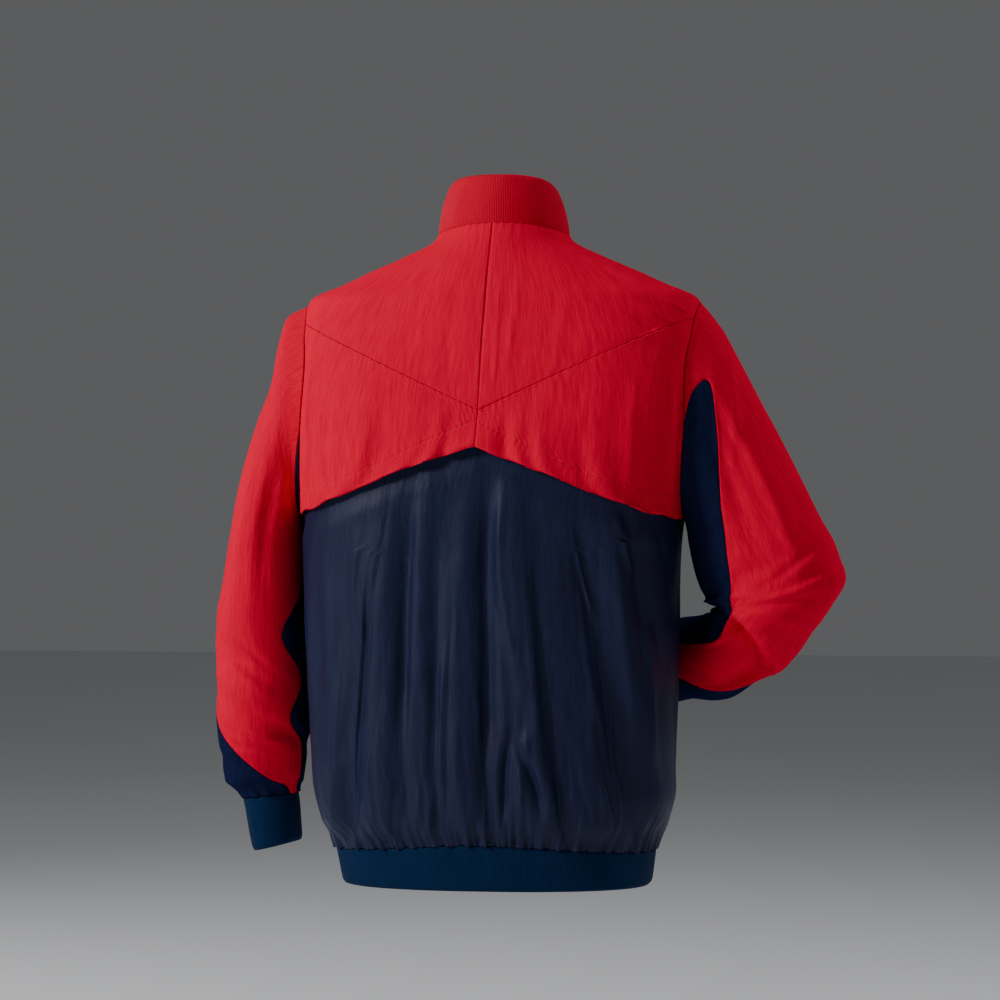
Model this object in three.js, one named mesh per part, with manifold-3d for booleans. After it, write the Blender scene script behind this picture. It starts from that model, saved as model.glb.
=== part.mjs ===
import * as THREE from 'three';
import { mergeVertices } from 'three/addons/utils/BufferGeometryUtils.js';
import Module from 'manifold-3d';

// Windbreaker jacket in its worn, hollow form. Millimetres, +Z up.
// +X is the wearer's right and +Y their front. The origin lies between the shoulders, at neck height.

const wasm = await Module();
wasm.setup();

const deg = Math.PI / 180;
const { lerp, smoothstep, clamp } = THREE.MathUtils;

// Cloth
const clothWall = 1.2;
const ribWall = 2;
const layerRise = 1.5; // the outer cloth lies this far above the back cloth under the flap
const seamGap = 0.3;
const armholeGap = 0.95;
const hemGap = 0.6;
const hiddenSink = 2; // how far the back cloth drops away from the flap above it

// Heights and edges
const neck = { half: 67.5, back: 62, front: 69 };
const shoulderSeamAtNeck = 97 * deg;
const centreSeam = -3 * deg;
const yokePoint = -182;
const flapNotch = -219;
const flapDrop = 73;
const flapStand = { most: 8, growth: 1.4, calmSide: 1.3, centre: 0.7, centreReach: 6 };
const flapSlope = { left: 1.12, right: 0.97 };
const underarm = -292;
const hemSeam = -625;
const hemSag = 11; // the cloth hangs this much lower over the band at the sides
const hemBottom = -673;
const frontEdge = 5; // from the centre front to each front's edge
const armhole = { height: -180, reach: 112, depth: 70, seamTop: -15 * deg, yokeEnd: 34 * deg };

// Horizontal sections of the body of the jacket: half width, depth behind and in front of the side line,
// squareness of the curve, and sideways shift.
const bodySections = [
  { z: 24, half: 58, back: 58, front: 48, square: 2, shift: 4.5 },
  { z: 4, half: 67.5, back: 66, front: 55, square: 2.05, shift: 4.5 },
  { z: -3, half: 72, back: 70, front: 57, square: 2.05, shift: 4.5 },
  { z: -20, half: 105, back: 78, front: 61, square: 2.1, shift: 4.5 },
  { z: -34, half: 138, back: 86, front: 65, square: 2.1, shift: 4.5 },
  { z: -48, half: 169, back: 92, front: 70, square: 2.15, shift: 4.5 },
  { z: -65, half: 204, back: 99, front: 78, square: 2.2, shift: 4.5 },
  { z: -85, half: 210, back: 104, front: 87, square: 2.4, shift: 4 },
  { z: -110, half: 214, back: 110, front: 97, square: 2.6, shift: 3 },
  { z: -192, half: 212, back: 120, front: 114, square: 3.1, shift: 0 },
  { z: -292, half: 199, back: 122, front: 121, square: 2.8, shift: -7 },
  { z: -346, half: 196, back: 122, front: 123, square: 2.6, shift: -8.5 },
  { z: -483, half: 192.5, back: 123, front: 124, square: 2.5, shift: -7.5 },
  { z: -548, half: 189, back: 124, front: 124, square: 2.5, shift: -6.5 },
  { z: -578, half: 187, back: 124, front: 123, square: 2.5, shift: -4.8 },
  { z: -604, half: 181, back: 121, front: 120, square: 2.45, shift: -4.8 },
  { z: -625, half: 171.5, back: 112, front: 112, square: 2.4, shift: -4 },
  { z: -637, half: 166.5, back: 109, front: 109, square: 2.4, shift: -3.6 },
  { z: -674, half: 160, back: 104, front: 104, square: 2.4, shift: -2.5 },
];

// Long soft folds: place across at the top and at the foot, where they start and end, width and depth.
const backFolds = [
  { xTop: -24, xLow: -26, top: -236, low: -700, width: 13, depth: -7 },
  { xTop: 8, xLow: 40, top: -222, low: -590, width: 14, depth: 5 },
  { xTop: 70, xLow: 98, top: -250, low: -430, width: 10, depth: 4 },
  { xTop: 86, xLow: 112, top: -262, low: -560, width: 11, depth: -5 },
  { xTop: 128, xLow: 149, top: -270, low: -420, width: 9, depth: 4 },
  { xTop: 114, xLow: 134, top: -450, low: -700, width: 10, depth: -6 },
  { xTop: 134, xLow: 134, top: -470, low: -690, width: 7, depth: 3 },
  { xTop: -140, xLow: -160, top: -440, low: -690, width: 7, depth: 4 },
  { xTop: -158, xLow: -169, top: -420, low: -700, width: 8, depth: -5 },
  { xTop: -84, xLow: -96, top: -420, low: -690, width: 15, depth: -4 },
  { xTop: 60, xLow: 64, top: -480, low: -690, width: 12, depth: -4 },
  { xTop: -52, xLow: -58, top: -500, low: -680, width: 9, depth: 3 },
];
const frontFolds = [
  { xTop: -64, xLow: -40, top: -150, low: -520, width: 14, depth: -4 },
  { xTop: 58, xLow: 46, top: -180, low: -560, width: 13, depth: -4 },
  { xTop: -112, xLow: -92, top: -300, low: -700, width: 13, depth: -5 },
  { xTop: 104, xLow: 88, top: -340, low: -700, width: 12, depth: -5 },
  { xTop: -138, xLow: -134, top: -420, low: -690, width: 9, depth: 4 },
  { xTop: 140, xLow: 132, top: -400, low: -690, width: 9, depth: 4 },
  { xTop: 66, xLow: 62, top: -470, low: -690, width: 10, depth: 3 },
  { xTop: -66, xLow: -60, top: -450, low: -690, width: 10, depth: 3 },
];

// Where folds fade in and out along their length, above the waistband and towards the sides
const foldFade = { startBy: 0.3, endFrom: 0.8, aboveHem: 26, towardsSide: 3 };

// Gathers above the waistband, calm beside the zip. Slower waves make their pitch and depth uneven.
const gathers = { count: 50, height: 36, depth: 2.6, fade: 1.5, calmEnd: 0.14, calmStart: 0.3 };
const gatherDrift = [{ count: 23, size: 0.4, start: 0 }, { count: 41, size: 0.25, start: 1 }];
const gatherSwell = [{ count: 31, size: 0.28, start: 2 }];
const flapWaves = [{ count: 19, size: 0.16, start: 1 }, { count: 31, size: 0.12, start: 0 }];

// Sleeve rings from the armhole to the end of the cuff. Each has its outermost point o and innermost
// point i, half its depth across them, the turn of that depth from straight back, and the places round
// the ring, in degrees from o, of the front and rear seams of the top panel.
const leftRings = [
  { ox: 0, oy: 0, oz: 0, ix: 0, iy: 0, iz: 0, depth: 70, turn: 0, front: -62, rear: 95 },
  { ox: -226, oy: 2, oz: -80, ix: -208.6, iy: 2, iz: -295, depth: 72, turn: 0, front: -62, rear: 118 },
  { ox: -232, oy: 2, oz: -100, ix: -209, iy: 2, iz: -297.5, depth: 73, turn: 0, front: -60, rear: 138 },
  { ox: -240, oy: 2, oz: -143, ix: -209.3, iy: 2, iz: -300.5, depth: 74, turn: 0, front: -58, rear: 162 },
  { ox: -257, oy: 2, oz: -189, ix: -209.5, iy: 2, iz: -305, depth: 75, turn: 0, front: -55, rear: 172 },
  { ox: -275, oy: 2, oz: -252, ix: -209.6, iy: 2, iz: -312, depth: 75, turn: 0, front: -50, rear: 176 },
  { ox: -285, oy: 3, oz: -306, ix: -209.4, iy: 3, iz: -325, depth: 74, turn: 0, front: -42, rear: 176 },
  { ox: -294, oy: 4, oz: -356, ix: -208.6, iy: 4, iz: -364, depth: 71, turn: 0, front: -32, rear: 160 },
  { ox: -305, oy: 8, oz: -412, ix: -206.4, iy: 8, iz: -416, depth: 67, turn: 0, front: -17, rear: 115 },
  { ox: -304, oy: 14, oz: -460, ix: -206, iy: 14, iz: -462, depth: 63, turn: 0, front: 2, rear: 154 },
  { ox: -308, oy: 24, oz: -505, ix: -206, iy: 24, iz: -503, depth: 58, turn: 0, front: 22, rear: 123 },
  { ox: -308, oy: 35, oz: -537, ix: -212, iy: 35, iz: -532, depth: 53, turn: 0, front: 58, rear: 148 },
  { ox: -304, oy: 46, oz: -572, ix: -219, iy: 46, iz: -565, depth: 42, turn: 0, front: 105, rear: 164 },
  { ox: -286, oy: 52, oz: -593, ix: -226, iy: 52, iz: -586, depth: 30.5, turn: 0, front: 148, rear: 168 },
  { ox: -277.5, oy: 66, oz: -651, ix: -224.5, iy: 66, iz: -638, depth: 27.5, turn: 0, front: 148, rear: 168 },
];
const rightRings = [
  { ox: 0, oy: 0, oz: 0, ix: 0, iy: 0, iz: 0, depth: 70, turn: 0, front: -62, rear: 97 },
  { ox: 224, oy: 2, oz: -82, ix: 194.8, iy: 2, iz: -295.5, depth: 72, turn: 0, front: -62, rear: 74 },
  { ox: 236, oy: 2, oz: -99, ix: 195.6, iy: 2, iz: -298.5, depth: 72, turn: 0, front: -62, rear: 62 },
  { ox: 254, oy: 2, oz: -133, ix: 196.4, iy: 2, iz: -302, depth: 71, turn: 0, front: -61, rear: 71 },
  { ox: 279, oy: 2, oz: -181, ix: 197.3, iy: 2, iz: -307, depth: 69, turn: 0, front: -60, rear: 88 },
  { ox: 301, oy: 1, oz: -222, ix: 198.5, iy: 2, iz: -315, depth: 66, turn: 0, front: -59, rear: 97 },
  { ox: 320, oy: 0, oz: -259, ix: 200.5, iy: 2, iz: -326, depth: 63, turn: 0, front: -58, rear: 101 },
  { ox: 336, oy: -2, oz: -292, ix: 204, iy: 3, iz: -343, depth: 61, turn: 1, front: -56, rear: 104 },
  { ox: 352, oy: -5, oz: -321, ix: 210.5, iy: 6, iz: -363, depth: 59, turn: 4, front: -52, rear: 109 },
  { ox: 361, oy: -9, oz: -353, ix: 217.5, iy: 12, iz: -376, depth: 59, turn: 9, front: -45, rear: 114 },
  { ox: 346, oy: -10, oz: -382, ix: 221, iy: 18, iz: -381.5, depth: 59, turn: 16, front: -36, rear: 112 },
  { ox: 325, oy: -4, oz: -410, ix: 223.5, iy: 24, iz: -385, depth: 58, turn: 25, front: -26, rear: 107 },
  { ox: 302, oy: 12, oz: -443, ix: 224, iy: 32, iz: -388.5, depth: 55, turn: 35, front: -12, rear: 99 },
  { ox: 262, oy: 46, oz: -468, ix: 221, iy: 52, iz: -392, depth: 51, turn: 43, front: 12, rear: 107 },
  { ox: 226, oy: 85, oz: -486, ix: 208, iy: 89, iz: -395, depth: 48, turn: 46, front: 64, rear: 110 },
  { ox: 189, oy: 124, oz: -489, ix: 186, iy: 124, iz: -400, depth: 45, turn: 43, front: 80, rear: 112 },
  { ox: 152, oy: 151, oz: -497, ix: 150, iy: 150, iz: -414, depth: 41, turn: 32, front: 86, rear: 113 },
  { ox: 124, oy: 162, oz: -500, ix: 122, iy: 161, iz: -434, depth: 33, turn: 21, front: 88, rear: 113 },
  { ox: 113, oy: 166, oz: -500, ix: 112, iy: 165, iz: -441, depth: 29.5, turn: 15, front: 88, rear: 113 },
  { ox: 60, oy: 176, oz: -512, ix: 59, iy: 175, iz: -457, depth: 27.5, turn: 12, front: 88, rear: 113 },
];

// Folds of the sleeves: ring at which they lie, how they slant, place round the ring, how far they reach
// round it and along it, and depth.
const leftCreases = [
  { at: 6, slant: 0, around: 60, spread: 14, length: 2.6, depth: 3 },
  { at: 5, slant: 0, around: 105, spread: 12, length: 2.2, depth: -4 },
  { at: 8.6, slant: 0.012, around: 70, spread: 50, length: 0.28, depth: -5 },
  { at: 9.3, slant: 0.01, around: 62, spread: 44, length: 0.26, depth: 3.5 },
  { at: 10, slant: 0.01, around: 95, spread: 46, length: 0.3, depth: -5 },
  { at: 9.4, slant: -0.01, around: -80, spread: 50, length: 0.3, depth: -5 },
  { at: 11.4, slant: 0.006, around: 30, spread: 50, length: 0.3, depth: -3 },
];
const rightCreases = [
  { at: 5.5, slant: 0, around: 58, spread: 13, length: 2.6, depth: 4 },
  { at: 5, slant: 0, around: 88, spread: 10, length: 2.4, depth: -4 },
  { at: 9.4, slant: 0.004, around: 150, spread: 34, length: 0.34, depth: 5 },
  { at: 10.5, slant: 0.004, around: 150, spread: 40, length: 0.34, depth: -7 },
  { at: 11.4, slant: -0.008, around: 55, spread: 44, length: 0.34, depth: -5 },
  { at: 8.7, slant: 0.01, around: 40, spread: 40, length: 0.36, depth: -4 },
  { at: 13.4, slant: 0.01, around: 70, spread: 46, length: 0.36, depth: -4 },
  { at: 10.2, slant: 0, around: -110, spread: 44, length: 0.4, depth: -5 },
];
const sleeveEnd = { left: 13, right: 18 };
const sleeveGathers = { count: 12, length: 1.3, depth: 1.4, rows: 3 };
const sleeveCalm = { from: 0.4, to: 2, beforeEnd: 0.8, seamHold: 2.5 };
const cuffGap = 0.004; // in rings

// Collar: heights of its upper edge at the back, sides and front, and its half width and depths there
const collarTop = { back: 64, side: 49, front: 12, half: 57.5, deepBack: 56, deepFront: 59, bulge: 2.5 };

// Front zip
const zip = {
  chainHalf: 2.6,
  chainRise: 1.9,
  tapeNear: 0.8,
  tapeFar: 15,
  tapeWall: 1,
  gap: 0.3,
  behind: 0.8,
  slidAt: 0.985,
};
const tapeSteps = { end: 0.002, near: 0.004, far: 0.016, margin: 0.018 }; // shares of the zip's length
const slider = {
  width: 8.4,
  length: 12,
  taper: 0.72,
  thick: 2.6,
  archWidth: 2.4,
  archInside: 2.5,
  post: 1.4,
  archRise: 3.6,
  archCorner: 1,
  archSink: 0.4,
};
const tab = {
  bar: 1.2,
  thick: 1.2,
  holeHalf: 1.9,
  holeLength: 4.2,
  armHalf: 3.3,
  armLength: 6.2,
  length: 26,
  tipHalf: 4,
};
const hingeRise = slider.thick + tab.bar;

// Rows and columns of each panel's wall. Panels that meet along a seam share their divisions there.
const grid = {
  yoke: { rows: 10, columns: 16 },
  flap: { rows: 10, columns: 16 },
  back: { cornerRows: 6, rows: 4, columns: 32 },
  frontUpper: { rows: 12, columns: 11 },
  frontLower: { rows: 6, columns: 14 },
  gatherBand: { rows: 2, firstStep: 0.08 },
  hemRib: { rows: 3, columns: 56 },
  collar: { rows: 5, columns: 48 },
  sleeve: { leftSteps: 19, rightSteps: 23, top: 9, under: 12, gathered: 36 },
  cuff: { rows: 2, columns: 24 },
};

// Shares of a panel's edge: the shoulder seam's, and how far down the back's corner and gathers lie
const seamShare = { yoke: 0.6, front: 0.5 };
const backEdge = { corner: 0.36, band: 0.92, sinkBy: 0.05, riseFrom: 4, riseTo: 30 };
const frontBand = 0.9;

const palette = {
  red: new THREE.MeshStandardMaterial({ color: 0xe4113a, roughness: 0.62, metalness: 0 }),
  navy: new THREE.MeshStandardMaterial({ color: 0x1c2648, roughness: 0.62, metalness: 0 }),
  redRib: new THREE.MeshStandardMaterial({ color: 0xd9102f, roughness: 0.85, metalness: 0 }),
  blueRib: new THREE.MeshStandardMaterial({ color: 0x06294f, roughness: 0.85, metalness: 0 }),
  tape: new THREE.MeshStandardMaterial({ color: 0x141a30, roughness: 0.8, metalness: 0 }),
  metal: new THREE.MeshStandardMaterial({ color: 0x9a9da3, roughness: 0.35, metalness: 1 }),
};

// Smooth curve through one column of a table, with no overshoot
function columnCurve(places, values) {
  const steps = places.slice(1).map((place, i) => place - places[i]);
  const slopes = steps.map((step, i) => (values[i + 1] - values[i]) / step);
  const tangents = places.map((_, i) => {
    const before = slopes[Math.max(i - 1, 0)];
    const after = slopes[Math.min(i, slopes.length - 1)];
    return before * after > 0 ? (2 * before * after) / (before + after) : 0;
  });
  return (place) => {
    let i = 0;
    while (i < steps.length - 1 && place > places[i + 1]) {
      i += 1;
    }
    const t = clamp((place - places[i]) / steps[i], 0, 1);
    const bend = t * t * (3 - 2 * t);
    const rise = t * (1 - t) * (1 - t) * tangents[i] * steps[i];
    const fall = t * t * (t - 1) * tangents[i + 1] * steps[i];
    return lerp(values[i], values[i + 1], bend) + rise + fall;
  };
}

function tableCurves(table, place) {
  const places = table.map(place);
  const keys = Object.keys(table[0]);
  return Object.fromEntries(keys.map((key) => [key, columnCurve(places, table.map((row) => row[key]))]));
}

const body = tableCurves(bodySections, (row) => -row.z);

// The angle alpha runs round the body: 0 at the centre back, 90 degrees at the wearer's right side.
function bodyRadius(alpha, z) {
  const depth = Math.cos(alpha) > 0 ? body.back(-z) : body.front(-z);
  const power = body.square(-z);
  const across = Math.abs(Math.sin(alpha)) / body.half(-z);
  const along = Math.abs(Math.cos(alpha)) / depth;
  return (across ** power + along ** power) ** (-1 / power);
}

function hemHeight(alpha) {
  return hemSeam - hemSag * Math.sin(alpha) ** 2;
}

function foldHeight(alpha, z) {
  const facing = Math.cos(alpha);
  const x = bodyRadius(alpha, z) * Math.sin(alpha);
  const calmHem = smoothstep(z - hemHeight(alpha), 0, foldFade.aboveHem);
  const folds = facing > 0 ? backFolds : frontFolds;
  const height = folds.reduce((sum, fold) => {
    const along = clamp((fold.top - z) / (fold.top - fold.low), 0, 1);
    const across = (x - lerp(fold.xTop, fold.xLow, along)) / fold.width;
    const reach = smoothstep(along, 0, foldFade.startBy) * (1 - smoothstep(along, foldFade.endFrom, 1));
    return sum + fold.depth * reach * Math.exp(-across * across);
  }, 0);
  return height * calmHem * Math.min(1, foldFade.towardsSide * Math.abs(facing));
}

function waveSum(waves, place) {
  return waves.reduce((sum, { count, size, start }) => sum + size * Math.sin(count * place + start), 0);
}

// Share of the girth from the centre back, measured at the height of the gathers
const girth = (() => {
  const steps = 720;
  const level = hemSeam + gathers.height / 2;
  const at = (k) => {
    const alpha = (k / steps) * Math.PI;
    const radius = bodyRadius(alpha, level);
    return new THREE.Vector2(radius * Math.sin(alpha), radius * Math.cos(alpha));
  };
  const lengths = [0];
  for (let k = 1; k <= steps; k += 1) {
    lengths.push(lengths[k - 1] + at(k).distanceTo(at(k - 1)));
  }
  const angles = lengths.map((_, k) => (k / steps) * Math.PI);
  const shares = lengths.map((length) => length / lengths[steps]);
  const shareAt = columnCurve(angles, shares);
  const angleAt = columnCurve(shares, angles);
  return {
    share: (alpha) => Math.sign(alpha) * shareAt(Math.abs(alpha)),
    angle: (share) => Math.sign(share) * angleAt(Math.abs(share)),
  };
})();

function gatherHeight(alpha, z) {
  const above = Math.max(0, (z - hemHeight(alpha)) / gathers.height);
  if (above >= 1) {
    return 0;
  }
  const share = girth.share(alpha);
  const calmFront = smoothstep(Math.PI - Math.abs(alpha), gathers.calmEnd, gathers.calmStart);
  const height = 1 - gatherSwell[0].size + waveSum(gatherSwell, share);
  const wave = Math.sin(gathers.count * Math.PI * share + waveSum(gatherDrift, share));
  return gathers.depth * calmFront * height * (1 - above) ** gathers.fade * wave;
}

function bodyBase(alpha, z, gathered) {
  const wave = gathered ? gatherHeight(alpha, z) : 0;
  const radius = bodyRadius(alpha, z) + foldHeight(alpha, z) + wave;
  return new THREE.Vector3(body.shift(-z) + radius * Math.sin(alpha), -radius * Math.cos(alpha), z);
}

function bodyPoint(alpha, z, rise, gathered = true) {
  const turn = 0.012;
  const drop = 1.5;
  const at = (angle, height) => bodyBase(angle, height, gathered);
  const across = at(alpha + turn, z).sub(at(alpha - turn, z));
  const down = at(alpha, z - drop).sub(at(alpha, z + drop));
  return at(alpha, z).addScaledVector(down.cross(across).normalize(), rise);
}

// Height at which the neckline's oval meets the body
function neckHeight(alpha) {
  const depth = Math.cos(alpha) > 0 ? neck.back : neck.front;
  const radius = 1 / Math.hypot(Math.sin(alpha) / neck.half, Math.cos(alpha) / depth);
  const halvings = 40;
  let low = -80;
  let high = bodySections[0].z;
  for (let step = 0; step < halvings; step += 1) {
    const middle = (low + high) / 2;
    if (bodyRadius(alpha, middle) > radius) {
      low = middle;
    } else {
      high = middle;
    }
  }
  return (low + high) / 2;
}

// A spot is a place on the body as an angle and a height, and a path gives spots for 0 to 1.
function armholeSpot(side, phi) {
  const y = -armhole.depth * Math.sin(phi);
  const z = armhole.height + armhole.reach * Math.cos(phi);
  const depth = y < 0 ? body.back(-z) : body.front(-z);
  const power = body.square(-z);
  const x = body.half(-z) * (1 - (Math.abs(y) / depth) ** power) ** (1 / power);
  return { alpha: side * Math.atan2(x, -y), z };
}

function straightPath(start, end) {
  return (t) => ({ alpha: lerp(start.alpha, end.alpha, t), z: lerp(start.z, end.z, t) });
}

function armholePath(side, from, to) {
  return (t) => armholeSpot(side, lerp(from, to, t));
}

function joinedPath(first, second, share) {
  return (t) => (t < share ? first(t / share) : second((t - share) / (1 - share)));
}

// From the centre to an end spot, sinking from one height to the other as the power of the way across
function slopedPath(startHeight, end, power) {
  const rounds = 4;
  const sideways = (alpha, z) => bodyRadius(alpha, z) * Math.sin(alpha);
  const endReach = Math.abs(sideways(end.alpha, end.z));
  return (t) => {
    const alpha = lerp(centreSeam, end.alpha, t);
    let z = startHeight;
    for (let round = 0; round < rounds; round += 1) {
      const reach = Math.abs(sideways(alpha, z) - sideways(centreSeam, z));
      z = lerp(startHeight, end.z, Math.min(1, reach / endReach) ** power);
    }
    return { alpha, z: t === 1 ? end.z : z };
  };
}

function coons(top, bottom, start, end) {
  const mix = (u, v, key) => {
    const ruled = lerp(top(u)[key], bottom(u)[key], v) + lerp(start(v)[key], end(v)[key], u);
    const upper = lerp(start(0)[key], end(0)[key], u);
    const lower = lerp(start(1)[key], end(1)[key], u);
    return ruled - lerp(upper, lower, v);
  };
  return (u, v) => ({ alpha: mix(u, v, 'alpha'), z: mix(u, v, 'z') });
}

function vSeam(side) {
  return slopedPath(yokePoint, armholeSpot(side, armhole.yokeEnd), 1);
}

function flapHem(side) {
  const power = side < 0 ? flapSlope.left : flapSlope.right;
  return slopedPath(flapNotch, { alpha: (side * Math.PI) / 2, z: flapNotch - flapDrop }, power);
}

function sideSeam(side) {
  const alpha = (side * Math.PI) / 2;
  return straightPath({ alpha, z: underarm }, { alpha, z: hemHeight(alpha) });
}

function neckSpot(alpha) {
  return { alpha, z: neckHeight(alpha) };
}

function centreFront(side, z) {
  return { alpha: side * (Math.PI - Math.asin(frontEdge / body.front(-z))), z };
}

function shoulderSeam(side) {
  return straightPath(neckSpot(side * shoulderSeamAtNeck), armholeSpot(side, armhole.seamTop));
}

// A wall is made of rows of points, each with an outer and an inner side. Rows may differ in length.
function wallMesh(name, material, rows, closed = false) {
  const positions = [];
  const triangles = [];
  const sides = ['outer', 'inner'].map((key) => rows.map((row) => row.map((point) => {
    positions.push(...point[key].toArray());
    return positions.length / 3 - 1;
  })));
  const [outer, inner] = sides;
  const pick = (row, k) => row[k % row.length];
  const spans = (row) => (closed ? row.length : row.length - 1);
  const face = (a, b, c, flip) => {
    triangles.push(...(flip ? [a, c, b] : [a, b, c]));
  };
  const strip = (upper, lower, flip) => {
    const n = spans(upper);
    const m = spans(lower);
    let i = 0;
    let j = 0;
    while (i < n || j < m) {
      if (j === m || (i < n && (i + 1) / n <= (j + 1) / m)) {
        face(pick(upper, i), pick(upper, i + 1), pick(lower, j), flip);
        i += 1;
      } else {
        face(pick(upper, i), pick(lower, j + 1), pick(lower, j), flip);
        j += 1;
      }
    }
  };
  const rim = (first, second, flip) => {
    const count = closed ? first.length : first.length - 1;
    for (let k = 0; k < count; k += 1) {
      face(pick(first, k), pick(second, k), pick(first, k + 1), flip);
      face(pick(first, k + 1), pick(second, k), pick(second, k + 1), flip);
    }
  };
  for (let r = 0; r < rows.length - 1; r += 1) {
    strip(outer[r], outer[r + 1], false);
    strip(inner[r], inner[r + 1], true);
  }
  rim(outer[0], inner[0], false);
  rim(outer[rows.length - 1], inner[rows.length - 1], true);
  if (!closed) {
    for (const end of [0, 1]) {
      for (let r = 0; r < rows.length - 1; r += 1) {
        const at = (sideRows, row) => sideRows[row][end * (sideRows[row].length - 1)];
        const flip = end === 0;
        face(at(outer, r), at(inner, r), at(outer, r + 1), flip);
        face(at(outer, r + 1), at(inner, r), at(inner, r + 1), flip);
      }
    }
  }
  const geometry = new THREE.BufferGeometry();
  geometry.setAttribute('position', new THREE.Float32BufferAttribute(positions, 3));
  geometry.setIndex(triangles);
  if (signedVolume(geometry) < 0) {
    for (let k = 0; k < triangles.length; k += 3) {
      [triangles[k + 1], triangles[k + 2]] = [triangles[k + 2], triangles[k + 1]];
    }
    geometry.setIndex(triangles);
  }
  geometry.computeVertexNormals();
  const mesh = new THREE.Mesh(geometry, material);
  mesh.name = name;
  return mesh;
}

function signedVolume(geometry) {
  const position = geometry.attributes.position;
  const index = geometry.index.array;
  const corner = (k) => new THREE.Vector3().fromBufferAttribute(position, index[k]);
  let volume = 0;
  for (let k = 0; k < index.length; k += 3) {
    volume += corner(k).dot(corner(k + 1).cross(corner(k + 2))) / 6;
  }
  return volume;
}

// Pull an edge point of a wall straight back from its edge by half the seam gap
function pullBack(point, towards, edge, gap) {
  const way = towards.outer.clone().sub(point.outer);
  const along = edge[1].outer.clone().sub(edge[0].outer).normalize();
  way.addScaledVector(along, -way.dot(along)).normalize().multiplyScalar(gap / 2);
  return { outer: point.outer.clone().add(way), inner: point.inner.clone().add(way) };
}

function trimRows(rows, closed, gap = seamGap) {
  const last = rows.length - 1;
  const near = (row, share) => row[Math.round(share * (row.length - 1))];
  const trimEnd = (row, next) => row.map((point, k) => {
    const before = closed ? row[(k + row.length - 1) % row.length] : row[Math.max(k - 1, 0)];
    const after = closed ? row[(k + 1) % row.length] : row[Math.min(k + 1, row.length - 1)];
    return pullBack(point, near(next, k / (row.length - 1)), [before, after], gap);
  });
  const first = trimEnd(rows[0], rows[1]);
  const final = trimEnd(rows[last], rows[last - 1]);
  const trimmed = [first, ...rows.slice(1, last).map((row) => [...row]), final];
  if (closed) {
    return trimmed;
  }
  return trimmed.map((row, r) => {
    const above = rows[Math.max(r - 1, 0)];
    const below = rows[Math.min(r + 1, last)];
    const start = pullBack(row[0], row[1], [above[0], below[0]], gap);
    const end = pullBack(row.at(-1), row.at(-2), [above.at(-1), below.at(-1)], gap);
    return [start, ...row.slice(1, -1), end];
  });
}

// Panel of the body: a patch of spots, a list of levels with their column counts, and the rise of its face
function bodyPanel(name, material, patch, levels, rise) {
  const rows = levels.map(({ v, columns }) => Array.from({ length: columns + 1 }, (_, k) => {
    const u = k / columns;
    const { alpha, z } = patch(u, v);
    const height = rise(u, v, alpha, z);
    return { outer: bodyPoint(alpha, z, height), inner: bodyPoint(alpha, z, height - clothWall) };
  }));
  return wallMesh(name, material, trimRows(rows, false));
}

function evenLevels({ rows, columns }, from = 0, to = 1) {
  return Array.from({ length: rows + 1 }, (_, k) => ({ v: lerp(from, to, k / rows), columns }));
}

const flatRise = () => layerRise;

function yoke(side, name) {
  const seam = shoulderSeam(side);
  const armholeTop = armholePath(side, armhole.seamTop, armhole.yokeEnd);
  const patch = coons(
    (t) => neckSpot(lerp(centreSeam, side * shoulderSeamAtNeck, t)),
    vSeam(side),
    straightPath(neckSpot(centreSeam), { alpha: centreSeam, z: yokePoint }),
    joinedPath(seam, armholeTop, seamShare.yoke),
  );
  return bodyPanel(name, palette.red, patch, evenLevels(grid.yoke), flatRise);
}

function flap(side, name) {
  const patch = coons(
    vSeam(side),
    flapHem(side),
    straightPath({ alpha: centreSeam, z: yokePoint }, { alpha: centreSeam, z: flapNotch }),
    armholePath(side, armhole.yokeEnd, Math.PI),
  );
  const { most, growth, calmSide, centre, centreReach } = flapStand;
  const rise = (u, v) => {
    const across = (1 - u * u) ** calmSide * lerp(centre, 1, Math.min(1, centreReach * u));
    return layerRise + most * v ** growth * across * (1 + waveSum(flapWaves, u));
  };
  return bodyPanel(name, palette.red, patch, evenLevels(grid.flap), rise);
}

// Levels of a panel whose last rows, from the place where the gathers start, are divided more finely
function gatheredLevels({ rows, columns }, fineColumns, from, bandStart) {
  const above = evenLevels({ rows, columns }, from, bandStart);
  const band = evenLevels({ rows: grid.gatherBand.rows, columns: fineColumns }, bandStart, 1).slice(1);
  return [...above, { v: lerp(bandStart, 1, grid.gatherBand.firstStep), columns: fineColumns }, ...band];
}

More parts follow.
